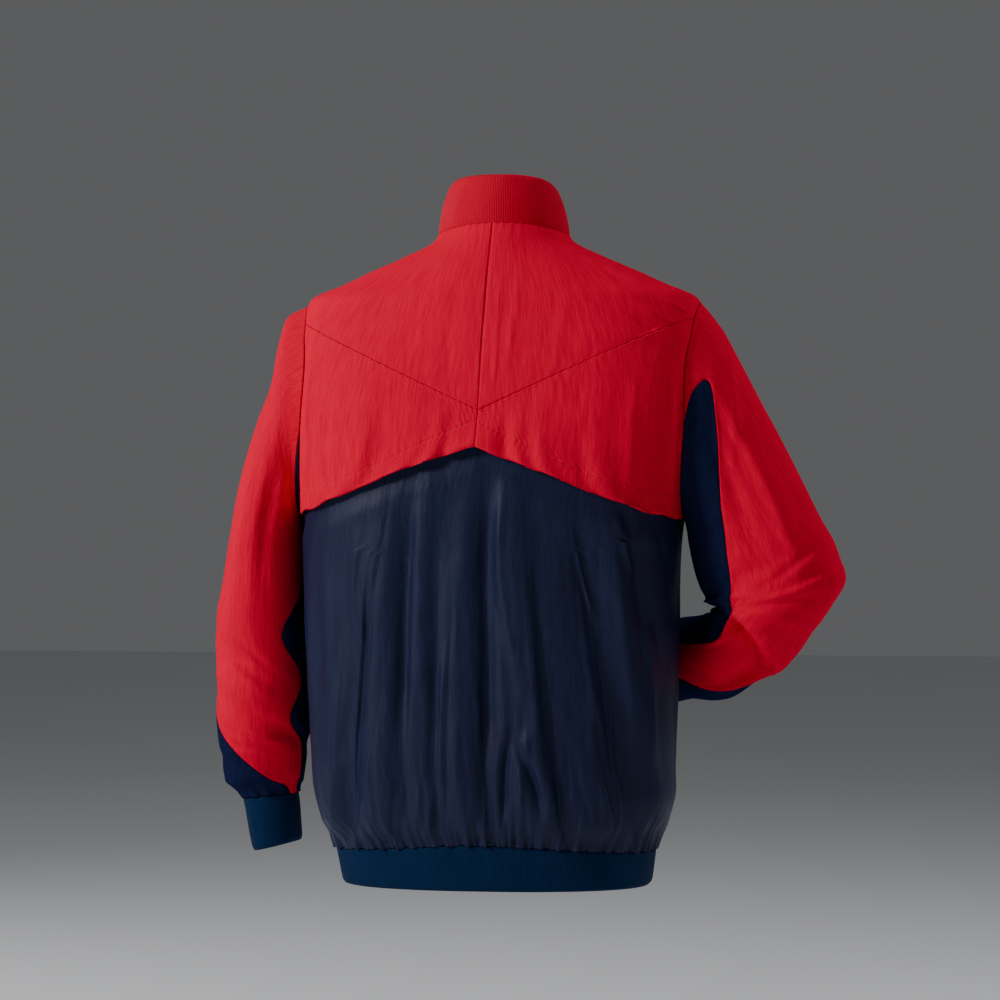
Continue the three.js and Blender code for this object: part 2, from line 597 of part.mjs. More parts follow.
function backLower() {
  const { corner, band, sinkBy, riseFrom, riseTo } = backEdge;
  const edge = (side) => joinedPath(armholePath(side, armhole.yokeEnd, Math.PI), sideSeam(side), corner);
  const leftTop = vSeam(-1);
  const rightTop = vSeam(1);
  const top = (t) => (t < 0.5 ? leftTop(1 - 2 * t) : rightTop(2 * t - 1));
  const bottom = (t) => {
    const alpha = girth.angle(lerp(-0.5, 0.5, t));
    return { alpha, z: hemHeight(alpha) };
  };
  const patch = coons(top, bottom, edge(-1), edge(1));
  const hems = { left: flapHem(-1), right: flapHem(1) };
  const rise = (u, v, alpha, z) => {
    const side = alpha < centreSeam ? -1 : 1;
    const share = clamp((alpha - centreSeam) / ((side * Math.PI) / 2 - centreSeam), 0, 1);
    const hem = (side < 0 ? hems.left : hems.right)(share);
    const hidden = hiddenSink * smoothstep(v, 0, sinkBy);
    return lerp(-hidden, layerRise, smoothstep(hem.z - z, riseFrom, riseTo));
  };
  const { cornerRows, columns } = grid.back;
  const upper = evenLevels({ rows: cornerRows, columns }, 0, corner).slice(0, -1);
  const levels = [...upper, ...gatheredLevels(grid.back, gathers.count * 2, corner, band)];
  return bodyPanel('back_lower', palette.navy, patch, levels, rise);
}

function frontUpper(side, name) {
  const armholeFront = armholePath(side, armhole.seamTop, -Math.PI);
  const outerEdge = joinedPath(shoulderSeam(side), armholeFront, seamShare.front);
  const neckFront = neckSpot(side * (Math.PI - Math.asin(frontEdge / neck.front)));
  const patch = coons(
    (t) => neckSpot(lerp(neckFront.alpha, side * shoulderSeamAtNeck, t)),
    (t) => ({ alpha: lerp(centreFront(side, underarm).alpha, (side * Math.PI) / 2, t), z: underarm }),
    (t) => centreFront(side, lerp(neckFront.z, underarm, t)),
    outerEdge,
  );
  return bodyPanel(name, palette.red, patch, evenLevels(grid.frontUpper), flatRise);
}

function frontLower(side, name) {
  const patch = coons(
    (t) => ({ alpha: lerp(centreFront(side, underarm).alpha, (side * Math.PI) / 2, t), z: underarm }),
    (t) => {
      const start = girth.share(centreFront(side, hemSeam).alpha);
      const alpha = girth.angle(lerp(start, side * 0.5, t));
      return { alpha, z: hemHeight(alpha) };
    },
    (t) => centreFront(side, lerp(underarm, hemHeight(Math.PI), t)),
    sideSeam(side),
  );
  const levels = gatheredLevels(grid.frontLower, gathers.count, 0, frontBand);
  return bodyPanel(name, palette.navy, patch, levels, flatRise);
}

// Waistband, open at the centre front
function hemRib() {
  const reach = Math.PI - Math.asin(frontEdge / body.front(-hemSeam));
  const { columns } = grid.hemRib;
  const rows = evenLevels(grid.hemRib).map(({ v }) => Array.from({ length: columns + 1 }, (_, k) => {
    const alpha = lerp(-reach, reach, k / columns);
    const z = lerp(hemHeight(alpha) - hemGap, hemBottom, v);
    const face = (rise) => bodyPoint(alpha, z, rise, false);
    return { outer: face(layerRise), inner: face(layerRise - ribWall) };
  }));
  return wallMesh('hem_rib', palette.blueRib, trimRows(rows, false));
}

// Standing collar: v runs from the neckline to the upper edge
function collarPoint(alpha, v, rise) {
  const foot = bodyPoint(alpha, neckHeight(alpha), layerRise);
  const depth = Math.cos(alpha) > 0 ? collarTop.deepBack : collarTop.deepFront;
  const radius = 1 / Math.hypot(Math.sin(alpha) / collarTop.half, Math.cos(alpha) / depth);
  const middle = (collarTop.back + collarTop.front) / 2;
  const level = (middle + collarTop.side) / 2 + ((middle - collarTop.side) / 2) * Math.cos(2 * alpha);
  const tilt = ((collarTop.back - collarTop.front) / 2) * Math.cos(alpha);
  const outward = new THREE.Vector3(Math.sin(alpha), -Math.cos(alpha), 0);
  const top = outward.clone().multiplyScalar(radius);
  top.x += body.shift(0);
  top.z = level + tilt;
  const bulge = 4 * v * (1 - v) * collarTop.bulge;
  return foot.lerp(top, v).addScaledVector(outward, rise + bulge);
}

function collar() {
  const reach = Math.PI - Math.asin(frontEdge / neck.front);
  const { columns } = grid.collar;
  const rows = evenLevels(grid.collar).map(({ v }) => Array.from({ length: columns + 1 }, (_, k) => {
    const alpha = lerp(-reach, reach, k / columns);
    return { outer: collarPoint(alpha, v, 0), inner: collarPoint(alpha, v, -ribWall) };
  }));
  rows[0].forEach((point) => {
    point.outer.z += hemGap;
    point.inner.z += hemGap;
  });
  return wallMesh('collar', palette.redRib, trimRows(rows, false));
}

// Sleeves
function makeArm(side, rings, creases, end) {
  const seamAt = (phi) => {
    const spot = armholeSpot(side, phi);
    const point = bodyPoint(spot.alpha, spot.z, layerRise);
    point.x += side * armholeGap;
    return point;
  };
  const top = seamAt(0);
  const low = seamAt(Math.PI);
  const first = { ...rings[0], ox: top.x, oy: top.y, oz: top.z, ix: low.x, iy: low.y, iz: low.z };
  const curves = tableCurves([first, ...rings.slice(1)], (_, k) => k);
  return { side, curves, creases, end, seamAt };
}

function ringFrame(arm, t) {
  const read = (key) => arm.curves[key](t);
  const outermost = new THREE.Vector3(read('ox'), read('oy'), read('oz'));
  const innermost = new THREE.Vector3(read('ix'), read('iy'), read('iz'));
  const reach = outermost.distanceTo(innermost) / 2;
  const out = outermost.clone().sub(innermost).normalize();
  const turn = read('turn') * deg;
  const back = new THREE.Vector3(-arm.side * Math.sin(turn), -Math.cos(turn), 0);
  back.addScaledVector(out, -back.dot(out)).normalize();
  return { centre: outermost.add(innermost).multiplyScalar(0.5), out, back, reach, depth: read('depth') };
}

function ringPoint(frame, phi, rise) {
  const across = Math.cos(phi) / frame.reach;
  const along = Math.sin(phi) / frame.depth;
  const length = Math.hypot(across, along);
  return frame.centre.clone()
    .addScaledVector(frame.out, frame.reach * Math.cos(phi) + (rise * across) / length)
    .addScaledVector(frame.back, frame.depth * Math.sin(phi) + (rise * along) / length);
}

function creaseHeight(arm, t, phi) {
  return arm.creases.reduce((sum, crease) => {
    const around = THREE.MathUtils.euclideanModulo(phi / deg - crease.around + 180, 360) - 180;
    const along = (t - crease.at - crease.slant * around) / crease.length;
    const across = around / crease.spread;
    return sum + crease.depth * Math.exp(-along * along - across * across);
  }, 0);
}

function sleevePoint(arm, t, phi, rise) {
  const frame = ringFrame(arm, t);
  const { from, to, beforeEnd, seamHold } = sleeveCalm;
  const calm = smoothstep(t, from, to) * (1 - smoothstep(t, arm.end - beforeEnd, arm.end));
  const ripple = smoothstep(t, arm.end - sleeveGathers.length, arm.end) * sleeveGathers.depth;
  const wave = t > arm.end ? 0 : ripple * Math.sin(sleeveGathers.count * phi);
  const point = ringPoint(frame, phi, rise + calm * creaseHeight(arm, t, phi) + wave);
  const hold = 1 - smoothstep(t, 0, seamHold);
  if (hold > 0) {
    const start = ringFrame(arm, 0);
    point.addScaledVector(arm.seamAt(phi).sub(ringPoint(start, phi, 0)), hold);
  }
  return point;
}

function sleevePanel(arm, name, material, from, to, columns, endColumns) {
  const steps = arm.side < 0 ? grid.sleeve.leftSteps : grid.sleeve.rightSteps;
  const rows = Array.from({ length: steps + 1 }, (_, k) => {
    const t = (k / steps) * arm.end;
    const count = k > steps - sleeveGathers.rows ? endColumns : columns;
    return Array.from({ length: count + 1 }, (__, c) => {
      const phi = lerp(from(t), to(t), c / count) * deg;
      return { outer: sleevePoint(arm, t, phi, 0), inner: sleevePoint(arm, t, phi, -clothWall) };
    });
  });
  return wallMesh(name, material, trimRows(rows, false));
}

function sleeve(arm, label) {
  const { front, rear } = arm.curves;
  const { top, under, gathered } = grid.sleeve;
  const round = (t) => front(t) + 360;
  return [
    sleevePanel(arm, `sleeve_top_${label}`, palette.red, front, rear, top, top),
    sleevePanel(arm, `sleeve_under_${label}`, palette.navy, rear, round, under, gathered),
  ];
}

function cuff(arm, label) {
  const rows = evenLevels(grid.cuff).map(({ v, columns }) => Array.from({ length: columns }, (_, k) => {
    const phi = (k / columns) * 2 * Math.PI;
    const t = lerp(arm.end + cuffGap, arm.end + 1, v);
    return { outer: sleevePoint(arm, t, phi, 0), inner: sleevePoint(arm, t, phi, -ribWall) };
  }));
  return wallMesh(`cuff_${label}`, palette.blueRib, trimRows(rows, true), true);
}

// Front zip: s runs from the foot of the waistband to the top of the collar
const neckShare = (neckHeight(Math.PI) - hemBottom) / (collarTop.front - hemBottom);

function zipPoint(x, s, rise) {
  if (s <= neckShare) {
    const z = lerp(hemBottom, neckHeight(Math.PI), s / neckShare);
    const alpha = Math.PI - Math.asin(x / body.front(-z));
    return bodyPoint(alpha, z, rise + layerRise);
  }
  const alpha = Math.PI - Math.asin(x / neck.front);
  return collarPoint(alpha, (s - neckShare) / (1 - neckShare), rise);
}

// The tape lies behind the thicker knit at the waistband and collar, and closer behind the cloth between
const hemShare = ((hemSeam - hemBottom) / (neckHeight(Math.PI) - hemBottom)) * neckShare;

function tapeFace(s) {
  const aboveBand = smoothstep(s, hemShare + tapeSteps.near, hemShare + tapeSteps.far);
  const belowCollar = 1 - smoothstep(s, neckShare - tapeSteps.far, neckShare - tapeSteps.near);
  return -lerp(ribWall, clothWall, aboveBand * belowCollar) - zip.behind;
}

const zipStretches = [
  { rows: 3, from: tapeSteps.end, to: hemShare },
  { rows: 2, from: hemShare, to: hemShare + tapeSteps.margin },
  { rows: 12, from: hemShare + tapeSteps.margin, to: neckShare - tapeSteps.margin },
  { rows: 2, from: neckShare - tapeSteps.margin, to: neckShare },
  { rows: 6, from: neckShare + tapeSteps.end, to: 1 - tapeSteps.end },
];
const zipLevels = zipStretches.flatMap(({ rows, from, to }, k) => {
  const levels = evenLevels({ rows, columns: 1 }, from, to);
  return k < zipStretches.length - 1 ? levels.slice(0, -1) : levels;
});

function zipStrip(name, material, near, far, top, bottom) {
  const rows = zipLevels.map(({ v, columns }) => Array.from({ length: columns + 1 }, (_, k) => {
    const x = lerp(near, far, k / columns);
    return { outer: zipPoint(x, v, top(v)), inner: zipPoint(x, v, bottom(v)) };
  }));
  return wallMesh(name, material, rows);
}

function zipTape(side, name) {
  const near = side * zip.tapeNear;
  const far = side * zip.tapeFar;
  return zipStrip(name, palette.tape, near, far, tapeFace, (s) => tapeFace(s) - zip.tapeWall);
}

function zipChain() {
  const bottom = (s) => tapeFace(s) + zip.gap;
  const top = (s) => bottom(s) + zip.chainRise;
  return zipStrip('zip_chain', palette.metal, -zip.chainHalf, zip.chainHalf, top, bottom);
}

// Joins closed meshes into one
function joined(...geometries) {
  const solids = geometries.map((geometry) => {
    const plain = geometry.clone();
    plain.deleteAttribute('normal');
    plain.deleteAttribute('uv');
    const merged = mergeVertices(plain, 1e-4);
    return new wasm.Manifold(new wasm.Mesh({
      numProp: 3,
      vertProperties: new Float32Array(merged.attributes.position.array),
      triVerts: new Uint32Array(merged.index.array),
    }));
  });
  const { vertProperties, triVerts } = solids.reduce((sum, solid) => sum.add(solid)).getMesh();
  const geometry = new THREE.BufferGeometry();
  geometry.setAttribute('position', new THREE.BufferAttribute(vertProperties, 3));
  geometry.setIndex(new THREE.BufferAttribute(triVerts, 1));
  geometry.computeVertexNormals();
  return geometry;
}

// Local axes of the slider: x across, y away from the cloth, z up along the zip
function sliderBody() {
  const half = slider.width / 2;
  const outline = new THREE.Shape();
  outline.moveTo(-half, slider.length / 2);
  outline.lineTo(half, slider.length / 2);
  outline.lineTo(half, 0);
  outline.lineTo(half * slider.taper, -slider.length / 2);
  outline.lineTo(-half * slider.taper, -slider.length / 2);
  outline.lineTo(-half, 0);
  const plate = new THREE.ExtrudeGeometry(outline, { depth: slider.thick, bevelEnabled: false });
  plate.rotateX(Math.PI / 2);
  plate.translate(0, slider.thick, 0);
  const reach = slider.archInside + slider.post;
  const side = new THREE.Shape();
  side.moveTo(-reach, -slider.archSink);
  side.lineTo(-reach, slider.archRise - slider.archCorner);
  side.lineTo(-reach + slider.archCorner, slider.archRise);
  side.lineTo(reach - slider.archCorner, slider.archRise);
  side.lineTo(reach, slider.archRise - slider.archCorner);
  side.lineTo(reach, -slider.archSink);
  side.lineTo(slider.archInside, -slider.archSink);
  side.lineTo(slider.archInside, 2 * tab.bar);
  side.lineTo(-slider.archInside, 2 * tab.bar);
  side.lineTo(-slider.archInside, -slider.archSink);
  const arch = new THREE.ExtrudeGeometry(side, { depth: slider.archWidth, bevelEnabled: false });
  arch.rotateY(-Math.PI / 2);
  arch.translate(slider.archWidth / 2, slider.thick, 0);
  return joined(plate, arch);
}

function pullTab() {
  const outline = new THREE.Shape();
  outline.moveTo(-tab.armHalf, tab.bar / 2);
  outline.lineTo(-tab.armHalf, -tab.armLength);
  outline.lineTo(-tab.tipHalf, -tab.length + tab.tipHalf);
  outline.absarc(0, -tab.length + tab.tipHalf, tab.tipHalf, Math.PI, 2 * Math.PI, false);
  outline.lineTo(tab.armHalf, -tab.armLength);
  outline.lineTo(tab.armHalf, tab.bar / 2);
  const hole = new THREE.Path();
  hole.moveTo(-tab.holeHalf, -tab.bar / 2);
  hole.lineTo(-tab.holeHalf, -tab.bar / 2 - tab.holeLength);
  hole.lineTo(tab.holeHalf, -tab.bar / 2 - tab.holeLength);
  hole.lineTo(tab.holeHalf, -tab.bar / 2);
  outline.holes.push(hole);
  const settings = { depth: tab.thick, bevelEnabled: false, curveSegments: 10 };
  const plate = new THREE.ExtrudeGeometry(outline, settings);
  plate.rotateX(Math.PI / 2);
  plate.translate(0, tab.thick / 2, 0);
  return plate;
}

function zipPull() {
  const chainFace = tapeFace(zip.slidAt) + zip.gap + zip.chainRise;
  const origin = zipPoint(0, zip.slidAt, chainFace + zip.gap);
  const below = zipPoint(0, zip.slidAt - tapeSteps.margin, chainFace);
  const up = zipPoint(0, zip.slidAt, chainFace).sub(below).normalize();
  const across = new THREE.Vector3(1, 0, 0);
  const outward = up.clone().cross(across);
  const group = new THREE.Group();
  group.applyMatrix4(new THREE.Matrix4().makeBasis(across, outward, up).setPosition(origin));
  const sliderMesh = new THREE.Mesh(sliderBody(), palette.metal);
  sliderMesh.name = 'zip_slider';
  const tabMesh = new THREE.Mesh(pullTab(), palette.metal);
  tabMesh.name = 'zip_pull_tab';
  tabMesh.position.y = hingeRise;
  group.add(sliderMesh, tabMesh);
  return group;
}

const leftArm = makeArm(-1, leftRings, leftCreases, sleeveEnd.left);
const rightArm = makeArm(1, rightRings, rightCreases, sleeveEnd.right);

const jacket = new THREE.Group();
jacket.add(collar());
jacket.add(yoke(-1, 'yoke_back_left'), yoke(1, 'yoke_back_right'));
jacket.add(flap(-1, 'flap_left'), flap(1, 'flap_right'));
jacket.add(backLower());
jacket.add(frontUpper(-1, 'front_upper_left'), frontUpper(1, 'front_upper_right'));
jacket.add(frontLower(-1, 'front_lower_left'), frontLower(1, 'front_lower_right'));
jacket.add(hemRib());
jacket.add(...sleeve(leftArm, 'left'), cuff(leftArm, 'left'));
jacket.add(...sleeve(rightArm, 'right'), cuff(rightArm, 'right'));
jacket.add(zipTape(-1, 'zip_tape_left'), zipTape(1, 'zip_tape_right'), zipChain(), zipPull());

export default jacket;
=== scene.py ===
import math

import bmesh
import bpy
import numpy as np
from mathutils import Matrix, Vector


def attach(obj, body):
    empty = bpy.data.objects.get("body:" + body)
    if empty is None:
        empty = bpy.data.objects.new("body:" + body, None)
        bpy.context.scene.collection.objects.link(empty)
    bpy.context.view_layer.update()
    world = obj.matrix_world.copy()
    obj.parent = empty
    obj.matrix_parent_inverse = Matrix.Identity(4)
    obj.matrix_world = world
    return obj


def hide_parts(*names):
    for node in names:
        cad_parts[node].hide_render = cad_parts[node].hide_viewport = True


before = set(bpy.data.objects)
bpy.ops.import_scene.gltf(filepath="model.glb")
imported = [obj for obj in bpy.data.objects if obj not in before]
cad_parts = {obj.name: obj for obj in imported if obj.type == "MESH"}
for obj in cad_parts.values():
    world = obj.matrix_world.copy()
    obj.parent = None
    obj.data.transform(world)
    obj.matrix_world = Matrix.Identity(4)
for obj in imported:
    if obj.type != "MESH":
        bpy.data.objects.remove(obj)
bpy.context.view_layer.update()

mm = 0.001  # lengths below are in millimetres, and become metres when a mesh is written
degree = math.pi / 180
print("frame loaded")


# Small helpers

def table(columns, rows):
    names = columns.split()
    return [dict(zip(names, row)) for row in rows]


def mix(a, b, t):
    return a + (b - a) * t


def smooth(value, low, high):
    t = np.clip((value - low) / (high - low), 0, 1)
    return t * t * (3 - 2 * t)


def unit(vectors):
    return vectors / np.maximum(np.linalg.norm(vectors, axis=-1, keepdims=True), 1e-9)


def bell(value, width):
    return np.exp(-(value / width) ** 2)


# A smooth curve through one column of a table, with no overshoot
def columnCurve(places, values):
    places = np.array(places, float)
    values = np.array(values, float)
    steps = np.diff(places)
    slopes = np.diff(values) / steps
    before = np.concatenate([slopes[:1], slopes])
    after = np.concatenate([slopes, slopes[-1:]])
    agree = before * after > 0
    tangents = np.where(agree, 2 * before * after / np.where(agree, before + after, 1), 0)

    def curve(place):
        place = np.asarray(place, float)
        i = np.clip(np.searchsorted(places, place) - 1, 0, len(steps) - 1)
        t = np.clip((place - places[i]) / steps[i], 0, 1)
        bend = t * t * (3 - 2 * t)
        rise = t * (1 - t) ** 2 * tangents[i] * steps[i]
        fall = t * t * (t - 1) * tangents[i + 1] * steps[i]
        return mix(values[i], values[i + 1], bend) + rise + fall

    return curve


def tableCurves(rows, places):
    return {key: columnCurve(places, [row[key] for row in rows]) for key in rows[0]}


# Even noise from -1 to 1 on a lattice, the same each run
def softNoise(x, y, seed):
    xi, yi = np.floor(x), np.floor(y)
    fx, fy = x - xi, y - yi
    fx, fy = fx * fx * (3 - 2 * fx), fy * fy * (3 - 2 * fy)

    def corner(dx, dy):
        mixed = np.sin((xi + dx) * 12.9898 + (yi + dy) * 78.233 + seed * 37.719) * 43758.5453
        return 2 * (mixed - np.floor(mixed)) - 1

    low = mix(corner(0, 0), corner(1, 0), fx)
    high = mix(corner(0, 1), corner(1, 1), fx)
    return mix(low, high, fy)


# The jacket's form, as the solids have it

cloth = {"wall": 0.7, "rise": 1.5, "sink": 2.0}
knit = {"wall": 2.0, "bandTall": 48, "cuffLong": 56, "cuffRadius": 28, "collarTall": 60, "collarRadius": 62}
neck = {"half": 67.5, "back": 62, "front": 69, "seam": 97 * degree}
body = {
    "centreSeam": -3 * degree,
    "yokePoint": -182,
    "flapNotch": -219,
    "flapDrop": 73,
    "flapPower": {-1: 1.12, 1: 0.97},
    "underarm": -292,
    "hemSeam": -625,
    "hemSag": 11,
    "hemBottom": -673,
    "hemGap": 0.6,
    "frontEdge": 5,
}
armhole = {"height": -180, "reach": 112, "depth": 70, "seamTop": -15 * degree, "yokeEnd": 34 * degree,
           "gap": 0.2}
# width and height of a panel, for distances from its edges
panelSizes = {"yoke": (225, 165), "frontUpper": (205, 245), "frontLower": (255, 335)}
bodySections = table("z half back front square shift", [
    (24, 58, 58, 48, 2, 4.5),
    (4, 67.5, 66, 55, 2.05, 4.5),
    (-3, 72, 70, 57, 2.05, 4.5),
    (-20, 105, 78, 61, 2.1, 4.5),
    (-34, 138, 86, 65, 2.1, 4.5),
    (-48, 169, 92, 70, 2.15, 4.5),
    (-65, 204, 99, 78, 2.2, 4.5),
    (-85, 210, 104, 87, 2.4, 4),
    (-110, 214, 110, 97, 2.6, 3),
    (-192, 212, 120, 114, 3.1, 0),
    (-292, 199, 122, 121, 2.8, -7),
    (-346, 196, 122, 123, 2.6, -8.5),
    (-483, 192.5, 123, 124, 2.5, -7.5),
    (-548, 189, 124, 124, 2.5, -6.5),
    (-578, 187, 124, 123, 2.5, -4.8),
    (-604, 181, 121, 120, 2.45, -4.8),
    (-625, 171.5, 112, 112, 2.4, -4),
    (-637, 166.5, 109, 109, 2.4, -3.6),
    (-674, 160, 104, 104, 2.4, -2.5),
])
broadFolds = {
    "back": table("xTop xLow top low width depth", [
        (13, 8, -216, -640, 10, -7),
        (-10, -17, -224, -650, 13, 4),
        (30, 73, -218, -660, 15, 7),
        (98, 162, -244, -660, 12, -8),
        (128, 184, -262, -640, 10, 5),
        (150, 172, -272, -420, 7, -4),
        (-99, -100, -262, -660, 24, 5),
        (-155, -150, -300, -660, 9, 5),
        (-108, -141, -330, -660, 8, -6),
        (-53, -58, -232, -500, 12, 3.5),
        (-74, -78, -240, -640, 8, -4),
        (-40, -44, -280, -650, 8, -3.5),
        (52, 92, -300, -660, 8, -3),
        (118, 128, -430, -670, 9, 4),
    ]),
    "front": table("xTop xLow top low width depth", [
        (-64, -40, -150, -520, 14, -4),
        (58, 46, -180, -560, 13, -4),
        (-112, -92, -300, -700, 13, -5),
        (104, 88, -340, -700, 12, -5),
        (-138, -134, -420, -690, 9, 4),
        (140, 132, -400, -690, 9, 4),
        (66, 62, -470, -690, 10, 3),
        (-66, -60, -450, -690, 10, 3),
    ]),
}
form = tableCurves(bodySections, [-row["z"] for row in bodySections])


# alpha runs round the body: 0 at the centre back, 90 degrees at the wearer's right side
def bodyRadius(alpha, z):
    depth = np.where(np.cos(alpha) > 0, form["back"](-z), form["front"](-z))
    power = form["square"](-z)
    across = np.abs(np.sin(alpha)) / form["half"](-z)
    along = np.abs(np.cos(alpha)) / depth
    return (across ** power + along ** power) ** (-1 / power)


def hemHeight(alpha):
    return body["hemSeam"] - body["hemSag"] * np.sin(alpha) ** 2


# How far a spot lies to the side of the body's middle
def sideways(alpha, z):
    return bodyRadius(alpha, z) * np.sin(alpha)


def foldHeight(alpha, z):
    x = sideways(alpha, z)
    total = np.zeros_like(x)
    for side, folds in broadFolds.items():
        sided = 0
        for fold in folds:
            along = np.clip((fold["top"] - z) / (fold["top"] - fold["low"]), 0, 1)
            across = x - mix(fold["xTop"], fold["xLow"], along)
            reach = smooth(along, 0, 0.3) * (1 - smooth(along, 0.8, 1))
            sided = sided + fold["depth"] * reach * bell(across, fold["width"])
        total = np.where((np.cos(alpha) > 0) == (side == "back"), sided, total)
    calmHem = smooth(z - hemHeight(alpha), 0, 26)
    return total * calmHem * np.minimum(1, 3 * np.abs(np.cos(alpha)))


def bodyBase(alpha, z):
    radius = bodyRadius(alpha, z) + foldHeight(alpha, z)
    return np.stack([form["shift"](-z) + radius * np.sin(alpha), -radius * np.cos(alpha), z], -1)


def bodyPoint(alpha, z, rise):
    turn, drop = 0.012, 1.5
    alpha, z = np.broadcast_arrays(np.asarray(alpha, float), np.asarray(z, float))
    across = bodyBase(alpha + turn, z) - bodyBase(alpha - turn, z)
    down = bodyBase(alpha, z - drop) - bodyBase(alpha, z + drop)
    rise = np.broadcast_to(np.asarray(rise, float), alpha.shape)
    return bodyBase(alpha, z) + unit(np.cross(down, across)) * rise[..., None]


girthSteps = 720
girthAngles = np.linspace(0, math.pi, girthSteps + 1)
girthLevel = np.full(girthSteps + 1, body["hemSeam"] + 18.0)
girthRadius = bodyRadius(girthAngles, girthLevel)
girthSpots = np.stack([girthRadius * np.sin(girthAngles), girthRadius * np.cos(girthAngles)], -1)
girthLengths = np.concatenate([[0], np.cumsum(np.linalg.norm(np.diff(girthSpots, axis=0), axis=1))])
halfGirth = girthLengths[-1]


# Share of the half girth from the centre back, and the angle for a share
def girthShare(alpha):
    return np.sign(alpha) * np.interp(np.abs(alpha), girthAngles, girthLengths / halfGirth)


def girthAngle(share):
    return np.sign(share) * np.interp(np.abs(share), girthLengths / halfGirth, girthAngles)


def findNeck(alpha):
    depth = np.where(np.cos(alpha) > 0, neck["back"], neck["front"])
    radius = 1 / np.hypot(np.sin(alpha) / neck["half"], np.cos(alpha) / depth)
    low, high = np.full_like(alpha, -80), np.full_like(alpha, 24)
    for halving in range(30):
        middle = (low + high) / 2
        wide = bodyRadius(alpha, middle) > radius
        low, high = np.where(wide, middle, low), np.where(wide, high, middle)
    return (low + high) / 2


neckLevels = findNeck(girthAngles)


def neckHeight(alpha):
    return np.interp(np.abs(alpha), girthAngles, neckLevels)


# A path gives an angle and a height for 0 to 1, and a patch fills the space between four paths

def armholeSpot(side, phi):
    y = -armhole["depth"] * np.sin(phi)
    z = armhole["height"] + armhole["reach"] * np.cos(phi)
    depth = np.where(y < 0, form["back"](-z), form["front"](-z))
    power = form["square"](-z)
    x = form["half"](-z) * (1 - (np.abs(y) / depth) ** power) ** (1 / power)
    return side * np.arctan2(x, -y), z


def straightPath(start, end):
    return lambda t: (mix(start[0], end[0], t), mix(start[1], end[1], t))


def armholePath(side, first, last):
    return lambda t: armholeSpot(side, mix(first, last, t))


# Down one side of the armhole in even steps of height, and then straight down to the end
def armholeDrop(side, phi, end):
    start = armhole["height"] + armhole["reach"] * math.cos(phi)

    def path(t):
        z = mix(start, end, t)
        level = np.clip((z - armhole["height"]) / armhole["reach"], -1, 1)
        onHole = armholeSpot(side, math.copysign(1, phi) * np.arccos(level))[0]
        return np.where(z > body["underarm"], onHole, side * math.pi / 2), z
    return path


def joinedPath(first, second, share):
    def path(t):
        early = first(np.clip(t / share, 0, 1))
        late = second(np.clip((t - share) / (1 - share), 0, 1))
        return tuple(np.where(t < share, a, b) for a, b in zip(early, late))
    return path


def slopedPath(startHeight, end, power):
    endReach = np.abs(sideways(*end))

    def path(t):
        alpha = mix(body["centreSeam"], end[0], t)
        z = np.full_like(alpha, startHeight)
        for settling in range(4):
            reach = np.abs(sideways(alpha, z) - sideways(body["centreSeam"], z))
            z = mix(startHeight, end[1], np.minimum(1, reach / endReach) ** power)
        return alpha, np.where(t >= 1, end[1], z)
    return path


def patch(top, bottom, start, end):
    def spots(u, v):
        zero, one = np.zeros_like(u), np.ones_like(u)
        sides = [top(u), bottom(u), start(v), end(v), start(zero), end(zero), start(one), end(one)]
        return tuple(
            mix(t, b, v) + mix(s, e, u) - mix(mix(s0, e0, u), mix(s1, e1, u), v)
            for t, b, s, e, s0, e0, s1, e1 in zip(*sides)
        )
    return spots


def vSeam(side):
    return slopedPath(body["yokePoint"], armholeSpot(side, armhole["yokeEnd"]), 1)


def flapHem(side):
    end = (side * math.pi / 2, body["flapNotch"] - body["flapDrop"])
    return slopedPath(body["flapNotch"], end, body["flapPower"][side])


def sideSeam(side):
    alpha = side * math.pi / 2
    return straightPath((alpha, body["underarm"]), (alpha, float(hemHeight(alpha))))


def neckSpot(alpha):
    return alpha, neckHeight(alpha)


def centreFront(side, z):
    return side * (math.pi - np.arcsin(body["frontEdge"] / form["front"](-z))), z


def shoulderSeam(side):
    return straightPath(neckSpot(side * neck["seam"]), armholeSpot(side, armhole["seamTop"]))


# Materials

class Wire:
    # a socket that can be used in a sum or a product
    def __init__(self, look, socket):
        self.look = look
        self.socket = socket

    def maths(self, operation, first, second):
        return self.look.node("ShaderNodeMath", {"operation": operation}, {0: first, 1: second})

    def __add__(self, other):
        return self.maths("ADD", self, other)

    def __mul__(self, other):
        return self.maths("MULTIPLY", self, other)


